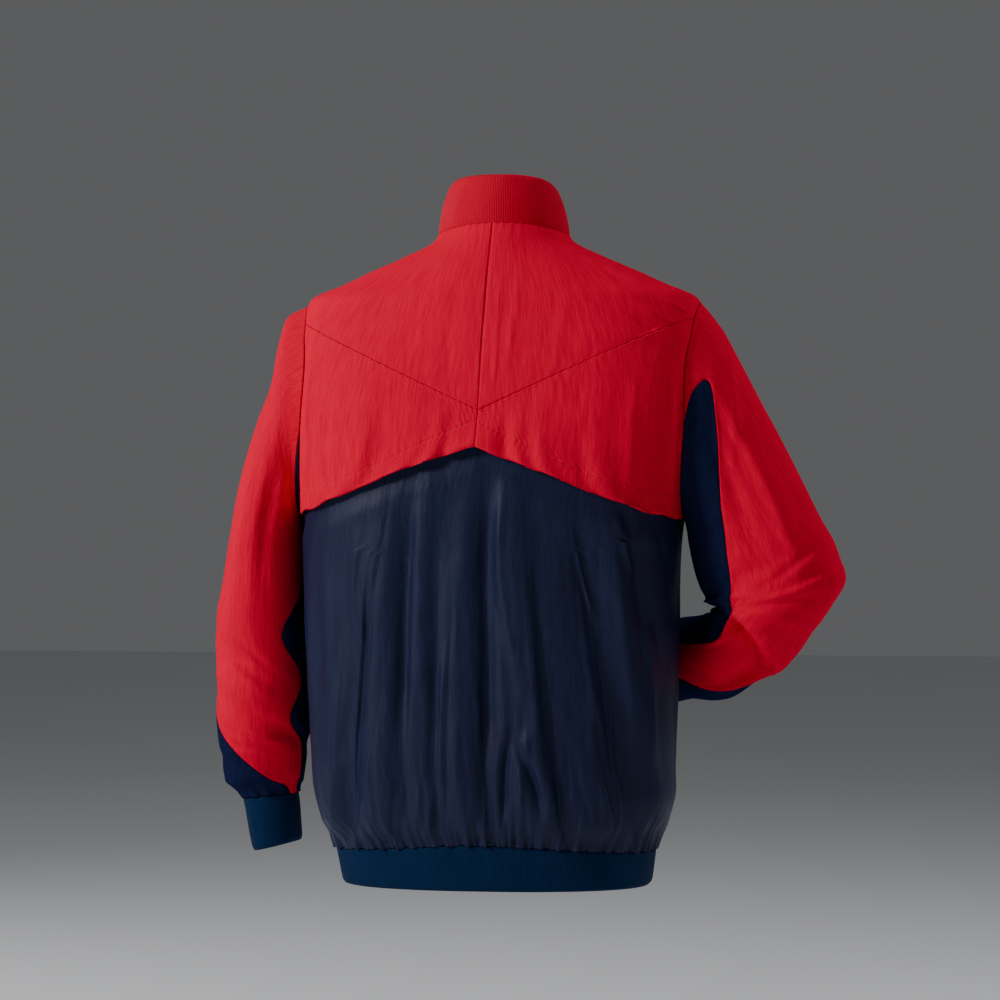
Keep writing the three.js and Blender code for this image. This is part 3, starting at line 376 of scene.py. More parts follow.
class Look:
    # a material being made, with one way to add a node
    def __init__(self, name):
        self.material = bpy.data.materials.new(name)
        self.material.use_nodes = True
        self.tree = self.material.node_tree
        self.shader = self.tree.nodes["Principled BSDF"]

    def node(self, kind, settings=None, inputs=None, output=0):
        made = self.tree.nodes.new(kind)
        for key, value in (settings or {}).items():
            setattr(made, key, value)
        for key, value in (inputs or {}).items():
            self.give(made.inputs[key], value)
        return Wire(self, made.outputs[output])

    def give(self, socket, value):
        if isinstance(value, Wire):
            self.tree.links.new(value.socket, socket)
        else:
            socket.default_value = value

    def finish(self, **values):
        for key, value in values.items():
            self.give(self.shader.inputs[key.replace("_", " ")], value)
        return self.material

    def noise(self, place, scale, detail=2, roughness=0.55, shift=0.0):
        spread = self.node("ShaderNodeMapping", inputs={
            "Vector": place, "Location": (shift, shift, 0), "Scale": (scale[0], scale[1], 1)})
        return self.node("ShaderNodeTexNoise", {"noise_dimensions": "2D"}, {
            "Vector": spread, "Scale": 1.0, "Detail": detail, "Roughness": roughness})

    def blend(self, share, first, second):
        settings = {"data_type": "RGBA", "clamp_factor": True}
        return self.node("ShaderNodeMix", settings, {0: share, 6: first, 7: second}, 2)

    def bump(self, height, distance):
        return self.node("ShaderNodeBump", inputs={"Height": height, "Distance": distance, "Strength": 1.0})

    def sine(self, angle):
        return self.node("ShaderNodeMath", {"operation": "SINE"}, {0: angle})

    def grain(self, scale, detail):
        place = self.node("ShaderNodeTexCoord", output="Object")
        return self.node("ShaderNodeTexNoise", inputs={"Vector": place, "Scale": scale, "Detail": detail})

    def limit(self, value, low, high):
        sockets = {"Value": value, "From Min": low, "From Max": high}
        return self.node("ShaderNodeMapRange", {"clamp": True}, sockets)


def cloudyNylon(name, tone):
    look = Look(name)
    place = look.node("ShaderNodeUVMap", {"uv_map": "cloth"})
    slub = look.noise(place, (1300, 34), 3, 0.6)
    crinkle = look.noise(place, (230, 40), 4, 0.62, 3.1)
    pucker = look.noise(place, (70, 26), 3, 0.5, 7.7)
    cloud = look.noise(place, (7, 5), 2, 0.5, 1.3)
    weave = look.noise(place, (2600, 2600), 1, 0.5, 5.2)
    # painted shade along the seams: where the seam mask is high, the colour darkens towards the seam colour,
    # which also stands for wear
    seam = look.node("ShaderNodeAttribute", {"attribute_name": "seam"}, output="Fac")
    thread = look.limit(slub, 0.32, 0.7)
    shade = look.limit(thread * 0.4 + crinkle * 0.35 + cloud * 0.35, 0.3, 0.85)
    color = look.blend(shade, tone["deep"], tone["lit"])
    seamShadeAndWear = look.blend(seam * tone["seamShade"], color, tone["seam"])
    height = crinkle * 0.5 + pucker * 0.75 + slub * 0.1 + weave * 0.035
    rough = thread * 0.08 + crinkle * 0.1 + tone["rough"]
    return look.finish(
        Base_Color=seamShadeAndWear, Roughness=rough, Normal=look.bump(height, tone["crinkle"]),
        Specular_IOR_Level=tone["gloss"])


def ribKnit(name, tone):
    look = Look(name)
    place = look.node("ShaderNodeUVMap", {"uv_map": "cloth"})
    parts = look.node("ShaderNodeSeparateXYZ", inputs={0: place})
    wobble = look.noise(place, (160, 30), 2, 0.5)
    turn = parts * (2 * math.pi / tone["pitch"]) + wobble * 1.4
    rib = look.sine(turn) * 0.5 + 0.5
    along = look.node("ShaderNodeSeparateXYZ", inputs={0: place}, output=1)
    course = look.sine(along * (2 * math.pi / tone["course"]))
    loops = course * rib * 0.25 + rib
    fuzz = look.noise(place, (1500, 1500), 3, 0.6, 2.0)
    cloud = look.noise(place, (22, 14), 2, 0.5, 4.0)
    shade = look.limit(loops * 0.5 + fuzz * 0.35 + cloud * 0.4, 0.2, 1.05)
    height = loops + fuzz * 0.35
    return look.finish(
        Base_Color=look.blend(shade, tone["deep"], tone["lit"]), Roughness=fuzz * 0.1 + 0.74,
        Normal=look.bump(height, tone["relief"]), Specular_IOR_Level=0.06)


def plainWeave(name, tone):
    look = Look(name)
    place = look.node("ShaderNodeUVMap", {"uv_map": "cloth"})
    across = look.node("ShaderNodeSeparateXYZ", inputs={0: place})
    along = look.node("ShaderNodeSeparateXYZ", inputs={0: place}, output=1)
    warp = look.sine(across * (2 * math.pi / tone["warpPitch"]))
    weft = look.sine(along * (2 * math.pi / tone["weftPitch"]))
    pick = warp * weft * 0.5 + 0.5
    color = look.blend(pick, tone["deep"], tone["lit"])
    return look.finish(
        Base_Color=color, Roughness=pick * 0.1 + 0.65, Normal=look.bump(pick, 0.00015),
        Sheen_Weight=0.1)


def castMetal(name, tone):
    look = Look(name)
    grain = look.grain(900.0, 3.0)
    scuff = look.grain(220.0, 4.0)
    shade = look.limit(scuff * 0.7 + grain * 0.3, 0.35, 0.65)
    return look.finish(
        Base_Color=look.blend(shade, tone["deep"], tone["lit"]), Metallic=1.0,
        Roughness=grain * 0.16 + tone["rough"], Normal=look.bump(grain, 0.00005))


def sewingThread(name, tone):
    look = Look(name)
    ply = look.grain(2600.0, 2.0)
    return look.finish(
        Base_Color=look.blend(ply, tone["deep"], tone["lit"]), Roughness=ply * 0.1 + 0.5,
        Normal=look.bump(ply, 0.0001), Sheen_Weight=0.2)


# seam is the colour of the painted shade along the seams, which also stands for wear; seamShade is how much
# of it is mixed in
redTone = {
    "deep": (0.58, 0.0, 0.027, 1), "lit": (0.80, 0.0, 0.040, 1), "seam": (0.36, 0.0, 0.014, 1),
    "seamShade": 0.15, "rough": 0.55, "crinkle": 0.0009, "gloss": 0.0,
}
navyTone = {
    "deep": (0.0052, 0.0076, 0.029, 1), "lit": (0.0105, 0.0155, 0.055, 1), "seam": (0.002, 0.003, 0.012, 1),
    "seamShade": 0.5, "rough": 0.42, "crinkle": 0.0008, "gloss": 0.16,
}
redNylon = cloudyNylon("red nylon", redTone)
navyNylon = cloudyNylon("navy nylon", navyTone)
sleeveNylon = cloudyNylon("matte navy nylon", dict(navyTone, gloss=0.0))
redRib = ribKnit("red rib knit", {
    "deep": (0.42, 0.0, 0.018, 1), "lit": (0.68, 0.0, 0.030, 1), "pitch": 0.0018, "course": 0.0014,
    "relief": 0.0003})
blueRib = ribKnit("petrol rib knit", {
    "deep": (0.001, 0.008, 0.03, 1), "lit": (0.002, 0.022, 0.075, 1), "pitch": 0.0024, "course": 0.0016,
    "relief": 0.0003})
tapeWeave = plainWeave("zip tape", {
    "deep": (0.006, 0.01, 0.03, 1), "lit": (0.014, 0.022, 0.06, 1), "warpPitch": 0.0011, "weftPitch": 0.0009})
zipMetal = castMetal("zip metal", {
    "deep": (0.30, 0.31, 0.33, 1), "lit": (0.62, 0.63, 0.66, 1), "rough": 0.22})
redThread = sewingThread("red thread", {"deep": (0.42, 0.0, 0.012, 1), "lit": (0.75, 0.005, 0.035, 1)})
navyThread = sewingThread("navy thread", {"deep": (0.006, 0.01, 0.035, 1), "lit": (0.02, 0.03, 0.09, 1)})
print("materials made")


# A piece of cloth: a grid laid on a form by place(u, v, lift), then given its thickness

def meshFrom(bm, name):
    mesh = bpy.data.meshes.new(name)
    bm.to_mesh(mesh)
    bm.free()
    return mesh


def newObject(name, mesh, material):
    piece = bpy.data.objects.new(name, mesh)
    bpy.context.scene.collection.objects.link(piece)
    mesh.materials.clear()
    mesh.materials.append(material)
    mesh.polygons.foreach_set("use_smooth", [True] * len(mesh.polygons))
    return piece


def clothPiece(name, place, weave, grid, material, wall, node, shade=None, closed=False):
    bm = bmesh.new()
    bm.loops.layers.uv.new("cloth")
    bmesh.ops.create_grid(bm, x_segments=grid[0], y_segments=grid[1], size=0.5, calc_uvs=True)
    mesh = meshFrom(bm, name)
    spots = np.empty(len(mesh.vertices) * 3)
    mesh.vertices.foreach_get("co", spots)
    u, v = (spots.reshape(-1, 3)[:, :2] + 0.5).T
    u, v = np.clip(u, 0, 1), np.clip(v, 0, 1)
    points = place(u, v, 0.0)
    mesh.vertices.foreach_set("co", (points * mm).ravel())
    mesh.update()
    loops = mesh.uv_layers["cloth"].data
    corners = np.empty(len(mesh.loops), int)
    mesh.loops.foreach_get("vertex_index", corners)
    loops.foreach_set("uv", (np.stack(weave(u, v), -1)[corners] * mm).ravel())
    # the seam mask, from the piece's shade function: where the painted seam shade goes in the colour
    seam = mesh.attributes.new("seam", "FLOAT", "POINT")
    seam.data.foreach_set("value", shade(u, v) if shade else np.zeros_like(u))
    # a few faces tell which way the grid looks
    few = corners.reshape(-1, 4)[::max(1, len(corners) // 200)]
    diagonals = points[few[:, 2]] - points[few[:, 0]], points[few[:, 3]] - points[few[:, 1]]
    outward = place(u[few[:, 0]], v[few[:, 0]], 1.0) - points[few[:, 0]]
    inside = (np.cross(*diagonals) * outward).sum() < 0
    bm = bmesh.new()
    bm.from_mesh(mesh)
    if closed:
        bmesh.ops.remove_doubles(bm, verts=bm.verts, dist=0.02 * mm)
    if inside:
        bmesh.ops.reverse_faces(bm, faces=bm.faces)
    bm.to_mesh(mesh)
    bm.free()
    piece = newObject(name, mesh, material)
    thick = piece.modifiers.new("thickness", "SOLIDIFY")
    thick.thickness = wall * mm
    thick.offset = -1
    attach(piece, "garment")
    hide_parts(node)
    return piece


# Creases listed one by one: from one place to another, how wide, how deep
def strokes(x, z, rows):
    total = np.zeros_like(x)
    for row in rows:
        dx, dz = row["x1"] - row["x0"], row["z1"] - row["z0"]
        length = math.hypot(dx, dz)
        along = ((x - row["x0"]) * dx + (z - row["z0"]) * dz) / length
        across = ((x - row["x0"]) * dz - (z - row["z0"]) * dx) / length
        across = across - row["bow"] * np.sin(np.clip(along / length, 0, 1) * math.pi)
        ends = min(0.35 * length, 60)
        reach = smooth(along, -0.2 * ends, ends) * (1 - smooth(along, length - ends, length + 0.2 * ends))
        total += row["depth"] * reach * np.exp(-np.abs(across / row["width"]) ** 1.7)
    return total


strokeColumns = "x0 z0 x1 z1 width depth bow"


# Many lesser folds, uneven in place, length, width and depth
def scattered(seed, count, box, lean, lengths, widths, depth):
    draw = np.random.RandomState(seed)
    rows = []
    for k in range(count):
        x = mix(box[0], box[1], (k + draw.uniform(0.1, 0.9)) / count)
        z = draw.uniform(box[2], box[3])
        length = draw.uniform(*lengths)
        tilt = draw.uniform(*lean) + 0.0009 * (x - (box[0] + box[1]) / 2)
        width = draw.uniform(*widths)
        sign = 1 if draw.uniform() < 0.5 else -1
        height = sign * depth * draw.uniform(0.4, 1) * (width / widths[1]) ** 0.5
        rows.append((x, z, x + math.sin(tilt) * length, z - math.cos(tilt) * length, width, height,
                     draw.uniform(-3, 3)))
    return table(strokeColumns, rows)


# The groove of a seam, at a distance from it
def seamGroove(distance, depth=0.9, reach=1.6):
    return -depth * bell(distance, reach)


# Puckers that the sewing draws in beside a seam
def puckers(distance, along, pitch, depth, reach, slant, seed):
    drift = softNoise(along / (3.3 * pitch), 0.4 + 0 * along, seed)
    size = 0.55 + 0.45 * softNoise(along / (1.7 * pitch), 3.7 + 0 * along, seed + 5)
    wave = np.sin((along + slant * distance) * 2 * math.pi / pitch + 2.6 * drift)
    return depth * size * wave * np.exp(-distance / reach)


# Gathers drawn in by the waistband: many waves at first, fewer higher up
gatherTable = {"count": 50, "tall": 42, "depth": 2.4, "fineDepth": 1.1, "seed": 11}


def hemGathers(alpha, z):
    above = np.maximum(0, z - hemHeight(alpha))
    share = girthShare(alpha)
    calmFront = smooth(math.pi - np.abs(alpha), 0.14, 0.3)
    drift = 0.4 * np.sin(23 * share) + 0.25 * np.sin(41 * share + 1)
    swell = 0.72 + 0.28 * np.sin(31 * share + 2)
    broad = gatherTable["depth"] * swell * np.sin(gatherTable["count"] * math.pi * share + drift)
    broad = broad * np.clip(1 - above / gatherTable["tall"], 0, 1) ** 1.4
    draw = np.random.RandomState(gatherTable["seed"])
    fine = np.zeros_like(share)
    for k in range(16):
        count = draw.uniform(70, 165)
        tall = draw.uniform(9, 26) * (90 / count)
        fine += np.sin(count * math.pi * share + draw.uniform(0, 6.28)) * np.exp(-above / tall)
    return calmFront * (broad + gatherTable["fineDepth"] * fine / 2.6)


# Body panels: spots give the angle and height, relief how far the face stands off there

places = {}


def bodyPiece(name, spots, relief, grid, material, node, shade):
    def place(u, v, lift):
        alpha, z = spots(u, v)
        return bodyPoint(alpha, z, relief(u, v, alpha, z) + lift)

    places[name] = place

    def weave(u, v):
        alpha, z = spots(u, v)
        return girthShare(alpha) * halfGirth, z

    return clothPiece(name, place, weave, grid, material, cloth["wall"], node, shade)


def edgeDistance(u, v, size, edges):
    width, length = size
    distances = {
        "start": u * width, "end": (1 - u) * width, "top": v * length, "bottom": (1 - v) * length}
    return np.minimum.reduce([distances[edge] for edge in edges])


def softCloth(x, z, seed, depth):
    broad = softNoise(x / 34, z / 95, seed) + 0.5 * softNoise(x / 17, z / 52, seed + 3)
    fine = 1 - 2 * np.abs(softNoise(x / 11 + 0.6 * broad, z / 33, seed + 7))
    return depth * (broad + 0.35 * fine)


yokeCreases = table(strokeColumns, [
    (-120, -62, -170, -104, 5, 1.4, 3),
    (-60, -30, -150, -64, 7, -1.2, 5),
    (96, -40, 172, -92, 5, 1.6, -4),
    (60, -22, 150, -58, 7, -1.2, -4),
    (30, -40, 22, -150, 5, 1.0, 2),
    (-34, -36, -40, -160, 6, -0.9, 2),
    (74, -56, 66, -160, 6, 0.9, -3),
    (-96, -60, -104, -150, 7, 0.8, 2),
    (8, -26, 9, -176, 2.6, 1.0, 0),
    (150, -74, 196, -96, 2.6, 1.6, 2),
    (142, -84, 190, -112, 3.0, -1.6, 2),
    (164, -66, 204, -84, 2.4, 1.4, -1),
    (-150, -74, -190, -100, 3.0, 1.5, 2),
])


yoke = {"neckShare": 0.36}


def straightNeck(first, last):
    return lambda t: neckSpot(mix(first, last, t))


def makeYoke(side, label):
    size = panelSizes["yoke"]
    neckline = straightNeck(body["centreSeam"], side * neck["seam"])
    spots = patch(
        joinedPath(neckline, shoulderSeam(side), yoke["neckShare"]),
        vSeam(side),
        straightPath(neckSpot(body["centreSeam"]), (body["centreSeam"], body["yokePoint"])),
        armholePath(side, armhole["seamTop"], armhole["yokeEnd"]),
    )

    def relief(u, v, alpha, z):
        x = sideways(alpha, z)
        edge = edgeDistance(u, v, size, ["start", "end", "top", "bottom"])
        inner = smooth(edge, 0, 14)
        drawn = puckers((1 - v) * size[1], u * size[0], 12, 0.2, 6, 0.5 * side, 4)
        atNeck = 1 - smooth(u, yoke["neckShare"] - 0.05, yoke["neckShare"])
        gathered = puckers(v * size[1], u * 250, 7, 0.6, 11, 0.1, 8) * atNeck
        return (cloth["rise"] + inner * (softCloth(x, z, 3 + side, 0.45) + strokes(x, z, yokeCreases))
                + seamGroove(edge, 0.45, 1.2) + drawn + gathered)

    return bodyPiece(
        f"yokeBack{label}", spots, relief, (130, 92), redNylon, f"yoke_back_{label.lower()}",
        lambda u, v: bell(edgeDistance(u, v, size, ["start", "bottom", "top", "end"]), 1.0))


flapCreases = {
    -1: table(strokeColumns, [
        (-30, -196, -34, -230, 6, 1.2, 0),
        (-70, -200, -76, -256, 8, -1.3, 2),
        (-118, -190, -124, -268, 7, 1.4, 2),
        (-165, -160, -158, -262, 6, -1.6, 3),
        (-188, -112, -182, -276, 4, 3.4, 3),
    ]),
    1: table(strokeColumns, [
        (22, -196, 26, -232, 6, -1.2, 0),
        (58, -198, 66, -250, 8, 1.4, 2),
        (100, -190, 110, -268, 8, -1.4, 2),
        (150, -150, 152, -284, 7, 1.5, 2),
        (184, -104, 182, -280, 4, -1.2, 3),
        (193, -112, 191, -286, 3.0, 3.6, 1),
    ]),
}
flap = {"stand": 8, "growth": 1.4, "hemLine": 27, "scallop": 0.7,
        "waves": [(19, 0.22, 1), (31, 0.2, 0), (47, 0.13, 2)]}


def flapTall(side):
    shares = np.linspace(0, 1, 60)
    heights = vSeam(side)(shares)[1] - flapHem(side)(shares)[1]
    return lambda u: np.interp(u, shares, heights)


def makeFlap(side, label):
    width = 232
    tallAt = flapTall(side)
    coarse = patch(
        vSeam(side),
        flapHem(side),
        straightPath((body["centreSeam"], body["yokePoint"]), (body["centreSeam"], body["flapNotch"])),
        armholeDrop(side, armhole["yokeEnd"], body["underarm"]),
    )

    def spots(u, v):
        alpha, z = coarse(u, v)
        scallop = np.sin(23 * u + 2.6 * np.sin(9 * u)) + 0.7 * np.sin(41 * u + 3 * np.sin(7 * u + 1))
        return alpha, z + flap["scallop"] * smooth(v, 0.6, 1) * scallop * smooth(u * width, 0, 14)

    def relief(u, v, alpha, z):
        x = sideways(alpha, z)
        waves = 1 + sum(size * np.sin(count * u + start) for count, size, start in flap["waves"])
        across = (1 - u * u) ** 1.3 * (0.7 + 0.3 * np.minimum(1, 6 * u)) * waves
        tall = tallAt(u)
        toHem = (1 - v) * tall
        edge = np.minimum(np.minimum(u * width, v * tall), (1 - u) * width)
        inner = smooth(edge, 0, 10)
        upper = puckers(v * tall, u * width, 9, 0.42, 8, -0.6 * side, 21)
        hemBand = 1 - smooth(toHem, flap["hemLine"] - 2, flap["hemLine"] + 1)
        band = 0.3 * hemBand + seamGroove(toHem - flap["hemLine"], 0.45, 1.3)
        drawn = puckers(np.abs(toHem - flap["hemLine"]), u * width, 8, 0.4, 7, 0.7 * side, 31)
        curl = -1.4 * bell(toHem, 2.2)
        return (cloth["rise"] + flap["stand"] * v ** flap["growth"] * across
                + inner * (softCloth(x, z, 13 + side, 0.5) + strokes(x, z, flapCreases[side]) + drawn)
                + seamGroove(edge, 0.45, 1.2) + upper + band + curl)

    return bodyPiece(
        f"flap{label}", spots, relief, (150, 84), redNylon, f"flap_{label.lower()}",
        lambda u, v: bell(np.minimum(u * width, v * tallAt(u)), 1.0))


backCreases = table(strokeColumns, [
    (-113, -351, -136, -590, 2.2, 1.6, 2),
    (98, -300, 128, -400, 3.0, 1.4, 2),
    (143, -286, 157, -354, 4.0, 2.0, 2),
    (37, -500, 24, -616, 4.5, -3.4, 3),
    (42, -520, 62, -600, 4.0, -3.0, -3),
    (52, -500, 44, -606, 6.0, 2.6, 2),
    (139, -470, 141, -606, 2.6, 2.2, 0),
    (118, -480, 138, -606, 4.5, -2.6, 2),
    (-176, -330, -172, -560, 6.0, 2.4, 3),
    (-66, -262, -78, -520, 7.0, -1.8, 3),
    (-30, -420, -36, -600, 5.0, 2.0, 2),
    (170, -360, 168, -560, 5.0, 2.0, -3),
    (24, -250, 44, -460, 5.0, 1.4, 6),
    (-120, -300, -124, -420, 6.0, 1.4, 4),
])
backScatter = scattered(5, 44, (-185, 185, -250, -470), (-0.05, 0.05), (130, 330), (2.6, 7), 2.3)
hemScatter = scattered(9, 56, (-178, 178, -500, -568), (-0.14, 0.14), (50, 120), (2.5, 6.5), 2.0)


def makeBack():
    def edge(side):
        return armholeDrop(side, armhole["yokeEnd"], float(hemHeight(side * math.pi / 2)))

    def top(t):
        left, right = vSeam(-1)(np.clip(1 - 2 * t, 0, 1)), vSeam(1)(np.clip(2 * t - 1, 0, 1))
        return tuple(np.where(t < 0.5, a, b) for a, b in zip(left, right))

    def bottom(t):
        alpha = girthAngle(t - 0.5)
        return alpha, hemHeight(alpha)

    coarse = patch(top, bottom, edge(-1), edge(1))

    def spots(u, v):
        return coarse(u, 1 - (1 - v) ** 1.25)

    hems = {side: flapHem(side) for side in (-1, 1)}

    def relief(u, v, alpha, z):
        x = sideways(alpha, z)
        side = np.where(alpha < body["centreSeam"], -1, 1)
        share = np.clip((alpha - body["centreSeam"]) / (side * math.pi / 2 - body["centreSeam"]), 0, 1)
        hemZ = np.where(side < 0, hems[-1](share)[1], hems[1](share)[1])
        shown = smooth(hemZ - z, 4, 30)
        detail = softCloth(x, z, 23, 0.5) + 2 * strokes(x, z, backCreases) + strokes(x, z, backScatter)
        detail += strokes(x, z, hemScatter)
        calm = smooth(z - hemHeight(alpha), 0, 22)
        away = smooth(math.pi / 2 - np.abs(alpha), 0, 0.06)
        return mix(-cloth["sink"], cloth["rise"], shown) + smooth(hemZ - z, -6, 26) * calm * away * detail \
            + hemGathers(alpha, z) + seamGroove((math.pi / 2 - np.abs(alpha)) * 190)

    return bodyPiece(
        "backLower", spots, relief, (330, 140), navyNylon, "back_lower",
        lambda u, v: np.maximum(bell((1 - v) * 420, 2.5), bell((0.5 - np.abs(u - 0.5)) * 560, 1.8)))


frontCreases = table(strokeColumns, [
    (-150, -100, -110, -250, 8, 1.8, 6),
    (150, -100, 112, -250, 8, -1.8, -6),
    (-176, -190, -120, -280, 7, -2.0, 4),
    (176, -190, 124, -284, 7, 2.0, -4),
    (-60, -60, -40, -200, 7, 1.3, 4),
    (62, -70, 44, -220, 7, 1.3, -4),
    (-24, -120, -20, -280, 4, 1.0, 1),
    (26, -110, 22, -280, 4, -1.0, 1),
])
frontLowerCreases = table(strokeColumns, [
    (-150, -320, -130, -600, 7, 2.0, 6),
    (-96, -300, -104, -600, 8, -2.0, -5),
    (-46, -330, -40, -610, 6, 1.6, 3),
    (150, -310, 132, -600, 7, -2.2, -6),
    (98, -330, 100, -600, 8, 2.0, 5),
    (44, -350, 42, -610, 6, -1.6, 3),
    (-172, -360, -162, -590, 5, -1.8, 2),
    (170, -380, 160, -590, 5, 1.8, 2),
])
frontScatter = scattered(15, 40, (-175, 175, -300, -480), (-0.06, 0.06), (100, 260), (4, 10), 1.2)


def frontStitchRoll(u, width):
    return 0.3 * (1 - smooth(u * width, 6, 8)) + seamGroove(u * width - 7, 0.35, 1.1)


def makeFrontUpper(side, label):
    size = panelSizes["frontUpper"]
    outer = joinedPath(shoulderSeam(side), armholeDrop(side, armhole["seamTop"], body["underarm"]), 0.36)
    neckEnd = neckSpot(side * (math.pi - math.asin(body["frontEdge"] / neck["front"])))
    innerEnd = centreFront(side, body["underarm"])
    spots = patch(
        lambda t: neckSpot(mix(neckEnd[0], side * neck["seam"], t)),
        lambda t: (mix(innerEnd[0], side * math.pi / 2, t), body["underarm"] + 0 * t),
        lambda t: centreFront(side, mix(neckEnd[1], body["underarm"], t)),
        outer,
    )

    def relief(u, v, alpha, z):
        x = sideways(alpha, z)
        edge = edgeDistance(u, v, size, ["end", "top", "bottom"])
        inner = smooth(np.minimum(edge, u * size[0]), 0, 14)
        drawn = puckers((1 - v) * size[1], u * size[0], 12, 0.4, 9, 0.8 * side, 41)
        gathered = puckers(v * size[1], u * 90, 9, 0.5, 8, 0.2, 45)
        return (cloth["rise"] + inner * (softCloth(x, z, 33 + side, 0.7) + strokes(x, z, frontCreases))
                + seamGroove(edge, 0.45, 1.2) + drawn + gathered + frontStitchRoll(u, size[0]))

    return bodyPiece(
        f"frontUpper{label}", spots, relief, (92, 100), redNylon, f"front_upper_{label.lower()}",
        lambda u, v: bell(edgeDistance(u, v, size, ["end", "top", "bottom"]), 1.0))


def makeFrontLower(side, label):
    size = panelSizes["frontLower"]
    innerEnd = centreFront(side, body["underarm"])
    hemStart = girthShare(centreFront(side, body["hemSeam"])[0])

    def bottom(t):
        alpha = girthAngle(mix(hemStart, side * 0.5, t))
        return alpha, hemHeight(alpha)

    coarse = patch(
        lambda t: (mix(innerEnd[0], side * math.pi / 2, t), body["underarm"] + 0 * t),
        bottom,
        lambda t: centreFront(side, mix(body["underarm"], float(hemHeight(math.pi)), t)),
        sideSeam(side),
    )

    def spots(u, v):
        return coarse(u, 1 - (1 - v) ** 1.2)

    def relief(u, v, alpha, z):
        x = sideways(alpha, z)
        edge = edgeDistance(u, v, size, ["end", "top"])
        inner = smooth(np.minimum(edge, u * size[0]), 0, 14) * smooth(z - hemHeight(alpha), 0, 22)
        detail = softCloth(x, z, 43 + side, 0.8) + strokes(x, z, frontLowerCreases)
        detail = detail + strokes(x, z, frontScatter)
        return (cloth["rise"] + inner * detail + seamGroove(edge) + hemGathers(alpha, z)
                + puckers(v * size[1], u * size[0], 12, 0.4, 9, 0.8 * side, 47) + frontStitchRoll(u, size[0]))

    def shade(u, v):
        return np.maximum(bell(edgeDistance(u, v, size, ["end", "top"]), 1.8), bell((1 - v) * size[1], 2.5))

    return bodyPiece(f"frontLower{label}", spots, relief, (156, 84), navyNylon,
                     f"front_lower_{label.lower()}", shade)


def makeWaistband():
    reach = math.pi - math.asin(body["frontEdge"] / float(form["front"](-body["hemSeam"])))

    def place(u, v, lift):
        alpha = girthAngle(mix(-1, 1, u) * girthShare(reach))
        z = mix(hemHeight(alpha) - body["hemGap"], body["hemBottom"], v)
        plump = 1.1 * np.sin(math.pi * np.clip(v, 0, 1)) ** 0.6 - 1.3 * bell((1 - v) * knit["bandTall"], 2.2)
        drawn = 0.5 * softNoise(u * 70, v * 2, 51) * (1 - 0.5 * v)
        return bodyPoint(alpha, z, cloth["rise"] + plump + drawn - 0.4 + lift)

    def weave(u, v):
        return (2 * u - 1) * girthShare(reach) * halfGirth, -knit["bandTall"] * v

    return clothPiece("waistband", place, weave, (420, 18), blueRib, knit["wall"], "hem_rib",
                      lambda u, v: bell(v * knit["bandTall"], 1.5))


# Collar

collar = {"back": 64, "side": 49, "front": 12, "half": 57.5, "deepBack": 56, "deepFront": 59, "bulge": 2.5}


def collarPoint(alpha, v, rise):
    foot = bodyPoint(alpha, neckHeight(alpha), cloth["rise"])
    depth = np.where(np.cos(alpha) > 0, collar["deepBack"], collar["deepFront"])
    radius = 1 / np.hypot(np.sin(alpha) / collar["half"], np.cos(alpha) / depth)
    middle = (collar["back"] + collar["front"]) / 2
    level = (middle + collar["side"]) / 2 + (middle - collar["side"]) / 2 * np.cos(2 * alpha)
    tilt = (collar["back"] - collar["front"]) / 2 * np.cos(alpha)
    outward = np.stack([np.sin(alpha), -np.cos(alpha), np.zeros_like(alpha)], -1)
    top = outward * radius[..., None]
    top[..., 0] += form["shift"](0.0)
    top[..., 2] = level + tilt
    bulge = 4 * v * (1 - v) * collar["bulge"]
    return mix(foot, top, v[..., None]) + outward * (rise + bulge)[..., None]


def makeCollar():
    reach = math.pi - math.asin(body["frontEdge"] / neck["front"])

    def place(u, v, lift):
        alpha = mix(-reach, reach, u)
        tall = knit["collarTall"]
        rounded = -1.5 * bell((1 - v) * tall, 2.0) - 0.5 * bell(v * tall, 1.6)
        soft = 0.5 * softNoise(u * 26, v * 3, 61) * np.sin(math.pi * v)
        rise = np.zeros_like(u) + rounded + soft + lift
        points = collarPoint(alpha, v, rise)
        points[..., 2] -= 1.4 * (1 - v) ** 3
        return points

    def weave(u, v):
        return mix(-reach, reach, u) * knit["collarRadius"], knit["collarTall"] * v

    return clothPiece("collarBand", place, weave, (300, 26), redRib, knit["wall"], "collar",
                      lambda u, v: bell(v * knit["collarTall"], 1.6))


# Sleeves

ringColumns = "ox oy oz ix iy iz depth turn front rear"
leftRings = table(ringColumns, [
    (0, 0, 0, 0, 0, 0, 70, 0, -62, 100),
    (-226, 2, -80, -208.6, 2, -295, 72, 0, -62, 138),
    (-232, 2, -100, -209, 2, -297.5, 73, 0, -60, 156),
    (-240, 2, -143, -209.3, 2, -300.5, 74, 0, -58, 170),
    (-257, 2, -189, -209.5, 2, -305, 75, 0, -55, 176),
    (-275, 2, -252, -209.6, 2, -312, 75, 0, -50, 178),
    (-285, 3, -306, -209.4, 3, -325, 74, 0, -42, 178),
    (-294, 4, -356, -208.6, 4, -364, 71, 0, -32, 168),
    (-305, 8, -412, -206.4, 8, -416, 67, 0, -17, 130),
    (-304, 14, -460, -206, 14, -462, 63, 0, 2, 158),
    (-308, 24, -505, -206, 24, -503, 58, 0, 22, 136),
    (-308, 35, -537, -212, 35, -532, 53, 0, 58, 160),
    (-304, 46, -572, -219, 46, -565, 42, 0, 105, 167),
    (-286, 52, -593, -226, 52, -586, 30.5, 0, 148, 168),
    (-277.5, 66, -651, -224.5, 66, -638, 27.5, 0, 148, 168),
])
